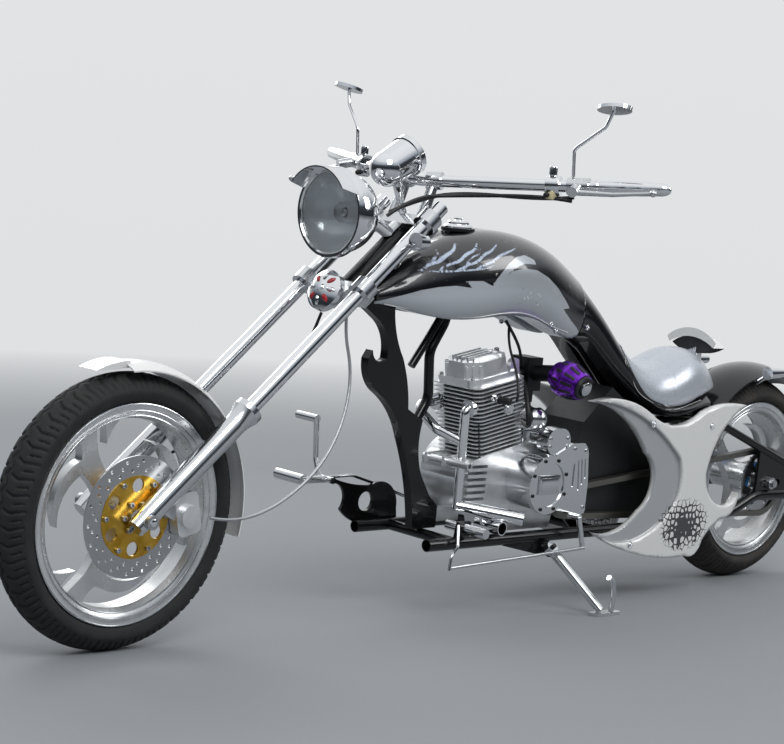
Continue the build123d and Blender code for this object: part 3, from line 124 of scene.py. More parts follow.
def tint(tree, shader, factor, dark, light, low=0.35, high=0.65):
    """Colour that drifts between two values with a pattern."""
    ramp = add(tree, "ShaderNodeValToRGB", None, {"Fac": factor})
    ramp.color_ramp.elements[0].position = low
    ramp.color_ramp.elements[0].color = linear(dark)
    ramp.color_ramp.elements[1].position = high
    ramp.color_ramp.elements[1].color = linear(light)
    tree.links.new(ramp.outputs[0], shader.inputs["Base Color"])
    return ramp


def tyre_rubber(name, dark, light):
    """Vulcanised rubber: near black, dull, dusty where it has rolled."""
    mat, tree, shader = finish(name, light, 0.8)
    _, broad = grain(tree, shader, 1.2, 0.12, 0.62, 0.9)
    tint(tree, shader, broad.outputs["Fac"], dark, light)
    return mat


def hose_rubber():
    """Extruded black rubber: smooth with a soft sheen."""
    mat, tree, shader = finish("hose_rubber", "161618", 0.45)
    grain(tree, shader, 0.8, 0.03, 0.35, 0.55)
    return mat


def cast_alloy(name, dark, light, low, high, spacing=1.6, height=0.05, metal=0.8):
    """Cast aluminium: a fine sand skin and an even silver."""
    mat, tree, shader = finish(name, light, 0.4, metal)
    _, broad = grain(tree, shader, spacing, height, low, high)
    tint(tree, shader, broad.outputs["Fac"], dark, light)
    return mat


def plate_finish(name, colour, low, high, height=0.008):
    """Chromium or polished metal: a hard mirror with the faintest haze."""
    mat, tree, shader = finish(name, colour, low, 1.0)
    grain(tree, shader, 9.0, height, low, high)
    return mat


def brushed(name, colour, low=0.25, high=0.42):
    """Turned or ground steel: fine marks across the surface."""
    mat, tree, shader = finish(name, colour, 0.32, 1.0)
    grain(tree, shader, 0.7, 0.02, low, high)
    return mat


def gloss_paint(name, colour, coat=1.0, shine=0.5):
    """Two-pack enamel, polished, with a clear coat over the colour."""
    mat, tree, shader = finish(name, colour, 0.25, 0.0, Coat_Weight=coat, Coat_Roughness=0.02,
                               Specular_IOR_Level=shine)
    grain(tree, shader, 6.0, 0.006, 0.22, 0.3)
    return mat


def vinyl():
    """Silver metallic vinyl: a soft sheen over a pebbled grain."""
    mat, tree, shader = finish("silver_vinyl", "bcc1c8", 0.3, 0.35)
    grain(tree, shader, 1.4, 0.05, 0.24, 0.32)
    return mat


def plastic(name, colour):
    """Moulded ABS: matt with a fine spark-eroded grain."""
    mat, tree, shader = finish(name, colour, 0.55)
    grain(tree, shader, 1.0, 0.05, 0.4, 0.6)
    return mat


def fluted_glass():
    """Pressed lens glass: clear, with upright flutes."""
    mat, tree, shader = finish("lens_glass", "f4f8fa", 0.02, 0.0, Transmission_Weight=0.92, IOR=1.5)
    place = add(tree, "ShaderNodeTexCoord")
    flutes = add(tree, "ShaderNodeTexWave", {"bands_direction": "Y"}, {
        "Vector": place.outputs["Object"], "Scale": 1 / (20 * 9 * MM), "Distortion": 0.0,
    })
    bump = add(tree, "ShaderNodeBump", None, {
        "Height": flutes.outputs["Fac"], "Distance": 0.8 * MM, "Strength": 1.0,
    })
    tree.links.new(bump.outputs[0], shader.inputs["Normal"])
    return mat


def anodised(name, dark, light):
    """Anodised aluminium: dyed oxide over turned metal."""
    mat, tree, shader = finish(name, light, 0.24, 0.9)
    _, broad = grain(tree, shader, 0.9, 0.015, 0.18, 0.3)
    tint(tree, shader, broad.outputs["Fac"], dark, light)
    return mat


def tank_paint():
    """Black enamel with silver-grey fields, cut where the painted edge distance crosses zero,
    and pale flame lines over the black. All lie under one clear coat."""
    mat, tree, shader = finish("tank_paint", "0a0b10", 0.25, 0.0, Coat_Weight=1.0, Coat_Roughness=0.02)
    grain(tree, shader, 6.0, 0.006, 0.2, 0.3)
    black = linear("090a0f")
    below = None
    metal = None
    for name, colour in (("lick_edge", "b9c6da"), ("field_edge", "b6bbc1")):
        edge = add(tree, "ShaderNodeAttribute", {"attribute_name": name})
        inside = add(tree, "ShaderNodeMapRange", None, {
            "Value": edge.outputs["Fac"], "From Min": 0.7, "From Max": -0.7, "To Min": 0.0, "To Max": 1.0,
        })
        mix = add(tree, "ShaderNodeMix", {"data_type": "RGBA"}, {"Factor": inside.outputs[0]})
        mix.inputs[7].default_value = linear(colour)
        if below is None:
            mix.inputs[6].default_value = black
        else:
            tree.links.new(below, mix.inputs[6])
        below = mix.outputs[2]
        metal = inside.outputs[0]
    tree.links.new(below, shader.inputs["Base Color"])
    half = add(tree, "ShaderNodeMath", {"operation": "MULTIPLY"})
    tree.links.new(metal, half.inputs[0])
    half.inputs[1].default_value = 0.15
    tree.links.new(half.outputs[0], shader.inputs["Metallic"])
    return mat


def panel_paint():
    """White enamel with a band of dark scales that fades out at its edges, by the painted place."""
    mat, tree, shader = finish("panel_paint", "dddddb", 0.25, 0.0, Coat_Weight=1.0, Coat_Roughness=0.02)
    place, _ = grain(tree, shader, 6.0, 0.006, 0.22, 0.3)
    cells = add(tree, "ShaderNodeTexVoronoi", {"feature": "DISTANCE_TO_EDGE"}, {
        "Vector": place.outputs["Object"], "Scale": 1 / (17 * MM), "Randomness": 0.75,
    })
    zone = add(tree, "ShaderNodeAttribute", {"attribute_name": "scales"})
    reach = add(tree, "ShaderNodeMath", {"operation": "MULTIPLY_ADD"})
    tree.links.new(zone.outputs["Fac"], reach.inputs[0])
    reach.inputs[1].default_value = 0.42
    reach.inputs[2].default_value = -0.02
    inked = add(tree, "ShaderNodeMath", {"operation": "LESS_THAN"})
    tree.links.new(cells.outputs["Distance"], inked.inputs[0])
    tree.links.new(reach.outputs[0], inked.inputs[1])
    bevel = add(tree, "ShaderNodeAttribute", {"attribute_name": "bevel"})
    base = add(tree, "ShaderNodeMix", {"data_type": "RGBA"}, {"Factor": bevel.outputs["Fac"]})
    base.inputs[6].default_value = linear("dededc")
    base.inputs[7].default_value = linear("9fa1a4")
    mix = add(tree, "ShaderNodeMix", {"data_type": "RGBA"}, {"Factor": inked.outputs[0]})
    tree.links.new(base.outputs[2], mix.inputs[6])
    mix.inputs[7].default_value = linear("24262a")
    tree.links.new(mix.outputs[2], shader.inputs["Base Color"])
    return mat


FRONT_RUBBER = tyre_rubber("front_tyre_rubber", "141415", "222222")
REAR_RUBBER = tyre_rubber("rear_tyre_rubber", "1e1c1a", "35312d")
HOSE = hose_rubber()
BRAID = brushed("braided_hose", "b4b6b8", 0.4, 0.55)
WHEEL = cast_alloy("wheel_silver", "d2d3d4", "dfe0e0", 0.2, 0.32)
ENGINE = cast_alloy("engine_alloy", "dcdee0", "ecedee", 0.24, 0.36)
# painted shade: a dark alloy for the barrel's wall between the fins
FIN_SHADE_PAINT = cast_alloy("fin_shadow", "303133", "3c3d40", 0.5, 0.6)
POLISHED = plate_finish("polished_alloy", "d6d8da", 0.12, 0.22, 0.02)
CHROME = plate_finish("chrome_plate", "e9eaec", 0.03, 0.09)
STEEL = brushed("ground_steel", "b9babc")
DARK_STEEL = brushed("blackened_steel", "3a3b3d", 0.35, 0.5)
CHAIN = brushed("chain_steel", "7b7873", 0.32, 0.46)
FRAME = gloss_paint("frame_black", "070708", 0.3, 0.25)
BLACK = gloss_paint("body_black", "06070c", 0.7, 0.3)
WHITE = gloss_paint("body_white", "dededc")
VINYL = vinyl()
PLASTIC = plastic("black_plastic", "141517")
CREAM = plastic("cream_plastic", "cfc39a")
RED = gloss_paint("red_enamel", "a31c22")
LAMP_CELLS = plastic("lamp_cells", "26272a")
REFLECTOR = cast_alloy("lamp_reflector", "eef0f1", "f6f7f8", 0.18, 0.26, 9.0, 0.01, 0.3)
GLASS = fluted_glass()
GOLD = anodised("gold_anodised", "b58a2a", "d6ac48")
PURPLE = anodised("purple_anodised", "5a1f96", "8a3fd0")
BLUE = anodised("blue_anodised", "1c4f8a", "3f86c6")
TANK = tank_paint()
PANEL = panel_paint()

DRESS = {
    "front_wheel": WHEEL, "rear_wheel": WHEEL, "rear_sprocket": STEEL, "front_brake_disc": STEEL,
    "chain": CHAIN, "front_axle": STEEL, "rear_axle": STEEL, "fork_sliders": POLISHED,
    "fork_tubes": CHROME, "lower_yoke": POLISHED, "upper_yoke": POLISHED, "handlebar": CHROME,
    "grips": CHROME, "levers": POLISHED, "mirrors": CHROME, "front_signals": CHROME,
    "headlight": CHROME, "headlight_lens": GLASS, "speedometer": CHROME, "horn": CHROME,
    "front_fender": WHITE, "front_caliper": ENGINE, "frame_neck": FRAME, "frame_spine": FRAME,
    "frame_cradle": FRAME, "rear_stays": FRAME, "crankcase": ENGINE, "engine_covers": POLISHED,
    "cylinder": ENGINE, "head_cover": ENGINE, "starter_motor": POLISHED, "carburettor": DARK_STEEL,
    "exhaust": CHROME, "fuel_cap": CHROME, "rear_cover": BLACK, "rear_fender": BLACK,
    "rear_lamps": CHROME, "battery_box": PLASTIC, "foot_controls": POLISHED, "side_stand": POLISHED,
}


def dress():
    """Gives every CAD node that stays in view its finish."""
    for name, mat in DRESS.items():
        mesh = NODES[name].data
        mesh.materials.clear()
        mesh.materials.append(mat)
        for face in mesh.polygons:
            face.material_index = 0


def dress_where(name, mat, test):
    """A second finish on a node's faces whose middle and normal, upright in mm, pass the test."""
    mesh = NODES[name].data
    mesh.materials.append(mat)
    slot = len(mesh.materials) - 1
    for face in mesh.polygons:
        if test(UPRIGHT @ face.center, face.normal):
            face.material_index = slot


dress()
DISC_CARRIER_R = 89.0
SPROCKET_CARRIER_R, SPROCKET_INNER_Y = 60.0, 84.0


def disc_carrier(p, n):
    """The brake disc's middle."""
    return math.hypot(p.x - WHEELBASE, p.z - FRONT_TYRE_R) < DISC_CARRIER_R


def sprocket_carrier(p, n):
    """The rear sprocket's middle, behind its teeth."""
    return p.y < SPROCKET_INNER_Y and math.hypot(p.x, p.z - REAR_TYRE_R) < SPROCKET_CARRIER_R


dress_where("front_brake_disc", GOLD, disc_carrier)
dress_where("rear_sprocket", BLUE, sprocket_carrier)


def bracket(p, n):
    """The right control plate and the post of the left footrest."""
    plate = abs(p.y + 127) < 6 and 1240 < p.x < 1490
    post = 104 < p.y < 116 and p.z < 246 and 1236 < p.x < 1294
    return plate or post


dress_where("foot_controls", FRAME, bracket)


def tail_shade(p, n):
    """The tail lamp above its stalk."""
    return abs(p.y) < 84 and p.z > (664 if abs(p.y) < 13 else 630)


def tail_lens(p, n):
    """The lamp's underside and its inset lens."""
    return tail_shade(p, n) and (n.z < -0.2 or (abs(n.x) > 0.9 and abs(p.x - 252) < 27))


dress_where("rear_lamps", WHITE, tail_shade)
dress_where("rear_lamps", LAMP_CELLS, tail_lens)


LAMP_AIM = Vector((1, 0, -0.035)).to_track_quat("Z", "Y")
LAMP = Matrix.Translation((1706, 0, 952)) @ LAMP_AIM.to_matrix().to_4x4()


def bowl(p, n):
    """The inside of the headlight's shell."""
    here = LAMP.inverted() @ p
    ahead = n.dot(LAMP.to_3x3() @ Vector((0, 0, 1)))
    return here.to_2d().length < 94 and ahead > 0.05 and here.z < 0


dress_where("headlight", REFLECTOR, bowl)


def painted_fin_shade(p, n):
    """The barrel's wall between the fins, painted dark as the shade that lies there."""
    here = BORE.inverted() @ p
    level = abs(n.dot((BORE.to_3x3() @ Vector((0, 0, 1))))) < 0.5
    return level and abs(here.x) < 79 and abs(here.y) < 70 and 0 < here.z < 178


dress_where("cylinder", FIN_SHADE_PAINT, painted_fin_shade)


def arc(a, b, c, count):
    """Points on the circle from a through b to c, without a."""
    (ax, ay), (bx, by), (cx, cy) = a, b, c
    d = 2 * (ax * (by - cy) + bx * (cy - ay) + cx * (ay - by))
    sa, sb, sc = ax * ax + ay * ay, bx * bx + by * by, cx * cx + cy * cy
    ux = (sa * (by - cy) + sb * (cy - ay) + sc * (ay - by)) / d
    uy = (sa * (cx - bx) + sb * (ax - cx) + sc * (bx - ax)) / d
    r = math.hypot(ax - ux, ay - uy)
    start = math.atan2(ay - uy, ax - ux)
    sweep = (math.atan2(cy - uy, cx - ux) - start) % TURN
    if (math.atan2(by - uy, bx - ux) - start) % TURN > sweep:
        sweep -= TURN
    return [(ux + r * math.cos(start + sweep * k / count), uy + r * math.sin(start + sweep * k / count))
            for k in range(1, count + 1)]


def outline(start, rows):
    """Points from rows of (through point or None, end point, count on the arc)."""
    points = [start]
    for through, end, count in rows:
        points += arc(points[-1], through, end, count) if through else [end]
    return points


def lathe(points, steps=48, closed=False):
    """A shape turned about the local Z axis from (radius, height) points."""
    bm = bmesh.new()
    verts = [bm.verts.new((r, 0, z)) for r, z in points]
    pairs = list(zip(verts, verts[1:])) + ([(verts[-1], verts[0])] if closed else [])
    edges = [bm.edges.new(pair) for pair in pairs]
    bmesh.ops.spin(bm, geom=verts + edges, cent=(0, 0, 0), axis=(0, 0, 1), angle=TURN, steps=steps,
                   use_merge=True)
    return bm


def rod(r, length, r_end=None, segments=24):
    """A round bar or cone up from the local origin."""
    bm = bmesh.new()
    bmesh.ops.create_cone(bm, cap_ends=True, segments=segments, radius1=r,
                          radius2=r if r_end is None else r_end, depth=length,
                          matrix=Matrix.Translation((0, 0, length / 2)))
    return bm


def block(x, y, z, edge=0.0):
    """A box about the local origin with rounded edges."""
    bm = bmesh.new()
    bmesh.ops.create_cube(bm, size=1, matrix=Matrix.Diagonal((x, y, z, 1)))
    if edge:
        bmesh.ops.bevel(bm, geom=bm.edges[:], offset=edge, affect="EDGES", segments=2, profile=0.5,
                        material=-1)
    return bm


def screw(r, height):
    """Socket screw: a round head with a recess."""
    return lathe([(0, 0.35 * height), (0.5 * r, 0.35 * height), (0.55 * r, height), (0.85 * r, height),
                  (r, 0.8 * height), (r, 0)], 14)


def aim(point, direction=(0, 1, 0)):
    """A place whose local Z points along a direction."""
    return Matrix.Translation(point) @ Vector(direction).to_track_quat("Z", "Y").to_matrix().to_4x4()


def join(bm, part, place=Matrix.Identity(4), mat=0):
    """Adds a finished small shape to a larger one, in one of its materials."""
    bmesh.ops.remove_doubles(part, verts=part.verts, dist=1e-4)
    bmesh.ops.recalc_face_normals(part, faces=part.faces)
    bmesh.ops.transform(part, matrix=place, verts=part.verts)
    for face in part.faces:
        face.material_index = mat
    scratch = bpy.data.meshes.new("scratch")
    part.to_mesh(scratch)
    part.free()
    bm.from_mesh(scratch)
    bpy.data.meshes.remove(scratch)


def piece(name, bm, mats, body, replaces=(), crease=35):
    """Leans a shape drawn upright into its place and lets it ride on a body."""
    bmesh.ops.transform(bm, matrix=BIKE, verts=bm.verts)
    mesh = bpy.data.meshes.new(name)
    bm.to_mesh(mesh)
    bm.free()
    for mat in mats if isinstance(mats, (list, tuple)) else [mats]:
        mesh.materials.append(mat)
    mesh.shade_smooth()
    mesh.set_sharp_from_angle(angle=math.radians(crease))
    obj = bpy.data.objects.new(name, mesh)
    bpy.context.scene.collection.objects.link(obj)
    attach(obj, body)
    if replaces:
        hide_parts(*replaces)
    return obj


def dense_copy(node, longest):
    """A node's own shape, upright in mm, merged and cut until no edge is longer than asked."""
    bm = bmesh.new()
    bm.from_mesh(NODES[node].data)
    bmesh.ops.transform(bm, matrix=UPRIGHT, verts=bm.verts)
    bmesh.ops.remove_doubles(bm, verts=bm.verts, dist=1e-3)
    for _ in range(7):
        long_edges = [edge for edge in bm.edges if edge.calc_length() > longest]
        if not long_edges:
            break
        bmesh.ops.subdivide_edges(bm, edges=long_edges, cuts=1)
        bmesh.ops.triangulate(bm, faces=[face for face in bm.faces if len(face.verts) > 3])
    return bm


def segment_distance(x, z, a, b):
    """How far (x, z) is from the stretch between two points."""
    dx, dz = b[0] - a[0], b[1] - a[1]
    t = ((x - a[0]) * dx + (z - a[1]) * dz) / max(dx * dx + dz * dz, 1e-9)
    t = min(1.0, max(0.0, t))
    return math.hypot(x - a[0] - t * dx, z - a[1] - t * dz)


def edge_distance(x, z, ring):
    """How far (x, z) is from a closed outline: negative inside it."""
    inside = False
    nearest = 1e9
    for a, b in zip(ring, ring[1:] + ring[:1]):
        nearest = min(nearest, segment_distance(x, z, a, b))
        if (a[1] > z) != (b[1] > z) and x < (b[0] - a[0]) * (z - a[1]) / (b[1] - a[1]) + a[0]:
            inside = not inside
    return -nearest if inside else nearest


def rounded(points, turns=2):
    """The same run of points with its corners cut, for a flowing line."""
    for _ in range(turns):
        soft = [points[0]]
        for a, b in zip(points, points[1:]):
            soft.append((0.75 * a[0] + 0.25 * b[0], 0.75 * a[1] + 0.25 * b[1]))
            soft.append((0.25 * a[0] + 0.75 * b[0], 0.25 * a[1] + 0.75 * b[1]))
        points = soft + [points[-1]]
    return points


def paint(bm, name, value):
    """A number at each point of a shape, from its place."""
    layer = bm.verts.layers.float.new(name)
    for vert in bm.verts:
        vert[layer] = value(vert.co)


TREES = {}


def on_surface(node, x, z, side, off=0.0):
    """The point of a node's outer side at (x, z), pushed out a little."""
    if node not in TREES:
        bm = bmesh.new()
        bm.from_mesh(NODES[node].data)
        bmesh.ops.transform(bm, matrix=UPRIGHT, verts=bm.verts)
        TREES[node] = BVHTree.FromBMesh(bm)
        bm.free()
    reach = 600.0
    hit = TREES[node].ray_cast(Vector((x, side * reach, z)), Vector((0, -side, 0)))[0]
    if hit is None:
        return None
    return Vector((x, hit.y + side * off, z))


def wire(name, points, radius, mat, body):
    """A thin round line through points, drawn upright in mm."""
    data = bpy.data.curves.new(name, "CURVE")
    data.dimensions = "3D"
    data.bevel_depth = radius * MM
    data.bevel_resolution = 2
    data.use_fill_caps = True
    spline = data.splines.new("NURBS")
    spline.points.add(len(points) - 1)
    for target, point in zip(spline.points, points):
        target.co = (*(BIKE @ Vector(point)), 1.0)
    spline.order_u = 3
    spline.use_endpoint_u = True
    spline.resolution_u = 6
    data.materials.append(mat)
    obj = bpy.data.objects.new(name, data)
    bpy.context.scene.collection.objects.link(obj)
    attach(obj, body)
    return obj


CAMERA_FROM_BIKE = Vector((4.8692, 3.3929, 0.8085))   # metres, from the foot of the rear axle
CAMERA_YAW = -135.66
CAMERA_PITCH = 2.65
CAMERA_ROLL = -2.64
FOCAL_PX = 2039.25
FRAME_W_PX = 784
SENSOR_MM = 36.0


def camera():
    yaw = math.radians(CAMERA_YAW)
    pitch = math.radians(CAMERA_PITCH)
    ahead = Vector((math.cos(yaw) * math.cos(pitch), math.sin(yaw) * math.cos(pitch), -math.sin(pitch)))
    right = ahead.cross(Vector((0, 0, 1))).normalized()
    up = right.cross(ahead)
    roll = Matrix.Rotation(math.radians(CAMERA_ROLL), 3, ahead)
    right, up = roll @ right, roll @ up
    data = bpy.data.cameras.new("camera")
    data.sensor_width = SENSOR_MM
    data.sensor_fit = "HORIZONTAL"
    data.lens = FOCAL_PX / FRAME_W_PX * SENSOR_MM
    data.clip_end = 60
    obj = bpy.data.objects.new("camera", data)
    bpy.context.scene.collection.objects.link(obj)
    turn = Matrix((right, up, -ahead)).transposed()
    obj.matrix_world = Matrix.Translation(BIKE_AT + CAMERA_FROM_BIKE) @ turn.to_4x4()
    bpy.context.scene.camera = obj


# Hoses and cables, from the fittings that hold them. Routes as in the part, upright, in metres.
CORDS = (
    ("brake_hose", 0.0036, "medium", BRAID, [
        (2.052, 0.096, 0.292), (2.000, 0.112, 0.282), (1.890, 0.122, 0.310), (1.770, 0.122, 0.390),
        (1.690, 0.100, 0.490), (1.655, 0.075, 0.600), (1.682, 0.060, 0.700), (1.676, 0.060, 0.7691),
    ]),
    ("speedo_cable", 0.0036, "medium", HOSE, [
        (2.184, -0.0652, 0.330), (2.100, -0.066, 0.380), (1.960, -0.070, 0.430),
        (1.800, -0.066, 0.500), (1.690, -0.056, 0.600), (1.650, -0.050, 0.720),
    ]),
)


def cords():
    for name, radius, stiffness, cover, route in CORDS:
        points = [Vector(p) / MM for p in route]
        obj = wire(name, points, radius / MM, cover, "steering")
        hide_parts("front_cables")
    points = [Vector((1560, 40, 960)), Vector((1500, 60, 1000)), Vector((1407.4, 100, 1021.0)),
              Vector((1318.0, 300, 1034.7)), Vector((1291.4, 353.4, 1038.1))]
    for name, lift, ahead in (("clutch_cable", 4.5, 3), ("switch_loom", -4.5, -3)):
        route = [p + Vector((ahead, 0, lift * (1 if k % 2 else -1))) for k, p in enumerate(points)]
        obj = wire(name, route, 4.4, HOSE, "steering")
        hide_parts("front_cables")


GROOVE_DEPTH = 4.6
GROOVE_HALF, SIPE_HALF = 4.0, 2.6
TREAD_PITCH = 36.0


def tread(u, v, pitch, half):
    """Depth of the grooves at u along the tyre and v across it: a zigzag on the crown, kinked
    branches to both shoulders and short sipes between them."""
    side = 1 if v > 0 else -1
    across = abs(v)
    wave = abs(((u / pitch) % 1.0) * 2 - 1) * 2 - 1
    depth = max(0.0, 1 - abs(v - 5 * wave) / GROOVE_HALF)
    kink = 0.5 * min(across, 0.5 * half) - 0.35 * max(0.0, across - 0.5 * half)
    phase = ((u - side * 0.25 * pitch) / pitch - kink / pitch) % 1.0
    branch = min(phase, 1 - phase) * pitch
    if 0.18 * half < across < 0.97 * half:
        depth = max(depth, 1 - branch / GROOVE_HALF)
    sipe = abs(phase - 0.5) * pitch
    if 0.58 * half < across < 0.9 * half:
        depth = max(depth, 0.8 * (1 - sipe / SIPE_HALF))
    return min(1.0, 1.8 * depth)


def tyre(name, node, hub, r, width, rim_r, seat_r, rim_w, mat, body):
    """Carcass with a cut tread, turned from the same section as the solid one."""
    half = width / 2
    shoulder = r - 0.34 * width
    bead = rim_w / 2 - 6.5
    heel = seat_r + 0.6
    flank = 0.5 * (rim_r + shoulder) + 2
    section = outline((heel, bead), [
        (None, (rim_r + 1, bead), 1),
        (None, (rim_r + 3, rim_w / 2 - 1), 1),
        ((flank, half - 1.4), (shoulder, half), 8),
        ((r, 0), (shoulder, -half), 44),
        ((flank, 1.4 - half), (rim_r + 3, 1 - rim_w / 2), 8),
        (None, (rim_r + 1, -bead), 1),
        (None, (heel, -bead), 1),
    ])
    bm = lathe(section, 720, closed=True)
    pitch = TURN * r / round(TURN * r / TREAD_PITCH)
    for vert in bm.verts:
        here = math.hypot(vert.co.x, vert.co.y)
        if here > shoulder + 1:
            angle = math.atan2(vert.co.y, vert.co.x) % TURN
            cut = GROOVE_DEPTH * tread(angle * r, vert.co.z, pitch, half)
            vert.co.x *= (here - cut) / here
            vert.co.y *= (here - cut) / here
        elif rim_r + 6 < here < rim_r + 20:
            vert.co.z += math.copysign(0.3 * math.sin((here - rim_r) * 0.9), vert.co.z)
    whole = bmesh.new()
    join(whole, bm, hub)
    piece(name, whole, mat, body, (node,), 50)


def rim_rings(name, hub, rim_r, seat_r, rim_w, body):
    """Bright machined steps round both edges of a rim."""
    bm = bmesh.new()
    for side in (1, -1):
        for r, inset, thick in ((rim_r - 1.4, 0.2, 1.9), (seat_r + 1, 3.6, 1.6), (seat_r - 10, 8.4, 2.0)):
            edge = side * (rim_w / 2 - inset)
            ring = [(r + thick * math.cos(t * TURN / 8), edge + thick * math.sin(t * TURN / 8))
                    for t in range(8)]
            join(bm, lathe(ring, 144, closed=True), hub)
    piece(name, bm, POLISHED, body)


def wheel_details():
    tyre("tyre_front", "front_tyre", FRONT_HUB, FRONT_TYRE_R, 100, 236, 219, 88, FRONT_RUBBER, "front_wheel")
    tyre("tyre_rear", "rear_tyre", REAR_HUB, REAR_TYRE_R, 138, 221, 205, 118, REAR_RUBBER, "rear_wheel")
    rim_rings("front_rim_steps", FRONT_HUB, 236, 219, 88, "front_wheel")
    rim_rings("rear_rim_steps", REAR_HUB, 221, 205, 118, "rear_wheel")
    bm = bmesh.new()
    for k in range(6):
        a = math.radians(60 * k)
        join(bm, screw(6, 6), FRONT_HUB @ Matrix.Translation((78 * math.cos(a), 78 * math.sin(a), 65)))
        join(bm, screw(6.5, 7), FRONT_HUB @ Matrix.Translation((31 * math.cos(a), 31 * math.sin(a), 65)))
    piece("disc_screws", bm, STEEL, "front_wheel")
    bm = bmesh.new()
    for k in range(6):
        a = math.radians(60 * k + 30)
        join(bm, screw(6.5, 6), REAR_HUB @ Matrix.Translation((42 * math.cos(a), 42 * math.sin(a), 91)))
    piece("sprocket_screws", bm, STEEL, "rear_wheel")
    bm = bmesh.new()
    for side in (1, -1):
        outward = Matrix.Rotation(0 if side > 0 else math.pi, 4, "X")
        place = FRONT_HUB @ Matrix.Translation((0, 0, side * 122)) @ outward
        join(bm, lathe([(0, 6), (6, 6), (9, 4.5), (11, 0)], 6), place)
    piece("axle_nuts", bm, CHROME, "steering")


# Painted field on the tank's sides, upright (x, z) in mm: its edge runs back along the top, forks
# into points behind, and closes below the tank
SILVER = [
    (1575, 752), (1524, 772), (1469, 793), (1429, 803), (1385, 809), (1332, 806), (1361, 821),
    (1307, 824), (1274, 813), (1266, 827), (1251, 843), (1223, 867), (1192, 884), (1156, 890),
    (1121, 880), (1116, 869), (1164, 870), (1206, 856), (1241, 834), (1208, 851), (1167, 859),
    (1116, 856), (1067, 839), (1021, 814), (982, 787), (954, 765), (986, 763), (941, 736),
    (897, 713), (860, 690), (860, 640), (1600, 640),
]
# Flame lines over the black, upright (x, z), with the width in mm at their middle
FLAMES = (
    (4, ((1470, 836), (1420, 838), (1360, 846), (1300, 852), (1262, 864))),
    (6, ((1462, 838), (1440, 852), (1412, 862), (1394, 876), (1372, 886), (1352, 904))),
    (6, ((1425, 842), (1398, 856), (1366, 866), (1346, 882), (1318, 892), (1296, 910))),
    (6, ((1380, 846), (1350, 858), (1318, 868), (1298, 884), (1268, 894), (1240, 910))),
    (6, ((1330, 850), (1302, 862), (1272, 870), (1250, 884), (1216, 894), (1180, 904))),
    (3, ((1448, 848), (1426, 866), (1410, 872), (1402, 888))),
    (3, ((1352, 862), (1330, 878), (1310, 884), (1296, 898))),
)


def tank():
    """The tank's own shape, with its painted fields and a pale lip along its lower edge."""
    bm = dense_copy("fuel_tank", 9.0)
    lines = [(width, rounded(list(points))) for width, points in FLAMES]

    def flame(co):
        if abs(co.y) < 20 or co.z < 830:
            return 20.0
        best = 20.0
        for width, points in lines:
            count = len(points) - 1
            for k, (a, b) in enumerate(zip(points, points[1:])):
                taper = 0.25 + 0.75 * math.sin(math.pi * (k + 0.5) / count)
                best = min(best, segment_distance(co.x, co.z, a, b) - 0.5 * width * taper)
        return best

    paint(bm, "field_edge", lambda co: edge_distance(co.x, co.z, SILVER))
    paint(bm, "lick_edge", flame)
    piece("tank_shell", bm, TANK, "frame", ("fuel_tank",), 40)
    for side in (1, -1):
        lip = []
        for x, z in ((1540, 753), (1470, 745), (1370, 735), (1290, 735), (1230, 746), (1150, 752),
                     (1080, 742), (1000, 716), (930, 702)):
            point = on_surface("fuel_tank", x, z, side, 0.4)
            if point is not None:
                lip.append(point)
        if len(lip) > 3:
            wire(f"tank_lip_{'left' if side > 0 else 'right'}", lip, 1.6, WHITE, "frame")
    bm = bmesh.new()
    tilt = (0.03, 0, 1)
    cap = [(0, 20), (8, 20), (10, 17), (24, 17), (27, 14), (27, 10), (33, 8), (36, 4), (36, 0),
           (30, -3), (0, -3)]
    join(bm, lathe(cap, 48), aim((1278, 0, 938), tilt))
    join(bm, block(26, 7, 5, 1.5), aim((1278, 0, 959), tilt))
    base = lathe([(37, -6), (41, -6), (41, 1), (37, 1)], 48, closed=True)
    join(bm, base, aim((1278, 0, 937), tilt), 1)
    for x, z in ((858, 716), (1010, 722), (980, 706)):
        for side in (1, -1):
            point = on_surface("rear_cover" if x < 900 else "fuel_tank", x, z, side)
            if point is not None:
                join(bm, screw(7, 5), aim(point, (0, side, 0)))
    piece("filler_cap", bm, [CHROME, DARK_STEEL], "frame", ("fuel_cap",))


def panels():
    """Side panels with their shaded crescent, a band of small scales and recessed bolts."""
    bm = dense_copy("side_panels", 12.0)
    centre_x, centre_z, reach_x, reach_z = SCALES

    def scales(co):
        return max(0.0, 1 - math.hypot((co.x - centre_x) / reach_x, (co.z - centre_z) / reach_z))

    paint(bm, "scales", scales)
    paint(bm, "bevel", lambda co: 1.0 if 140 < abs(co.y) < 147.5 and co.x > 455 else 0.0)
    piece("panel_shells", bm, PANEL, "frame", ("side_panels",), 30)
    bm = bmesh.new()
    for x, z in PANEL_BOLTS:
        for side in (1, -1):
            place = aim((x, side * 154, z), (0, side, 0))
            join(bm, lathe([(10, 0), (9.5, 1.2), (7.5, 1.2), (7, 0.2), (0, 0.2)], 20), place)
            join(bm, screw(6.2, 3.4), place)
    piece("panel_bolts", bm, CHROME, "frame")


SCALES = (430.0, 200.0, 118.0, 78.0)     # the pattern's middle and reach, x and z
PANEL_BOLTS = ((617, 476), (358, 465), (656, 158))


SEAM_Y, SEAM_X, SEAM_HALF, SEAM_DEPTH = 66.0, 470.0, 3.0, 2.2


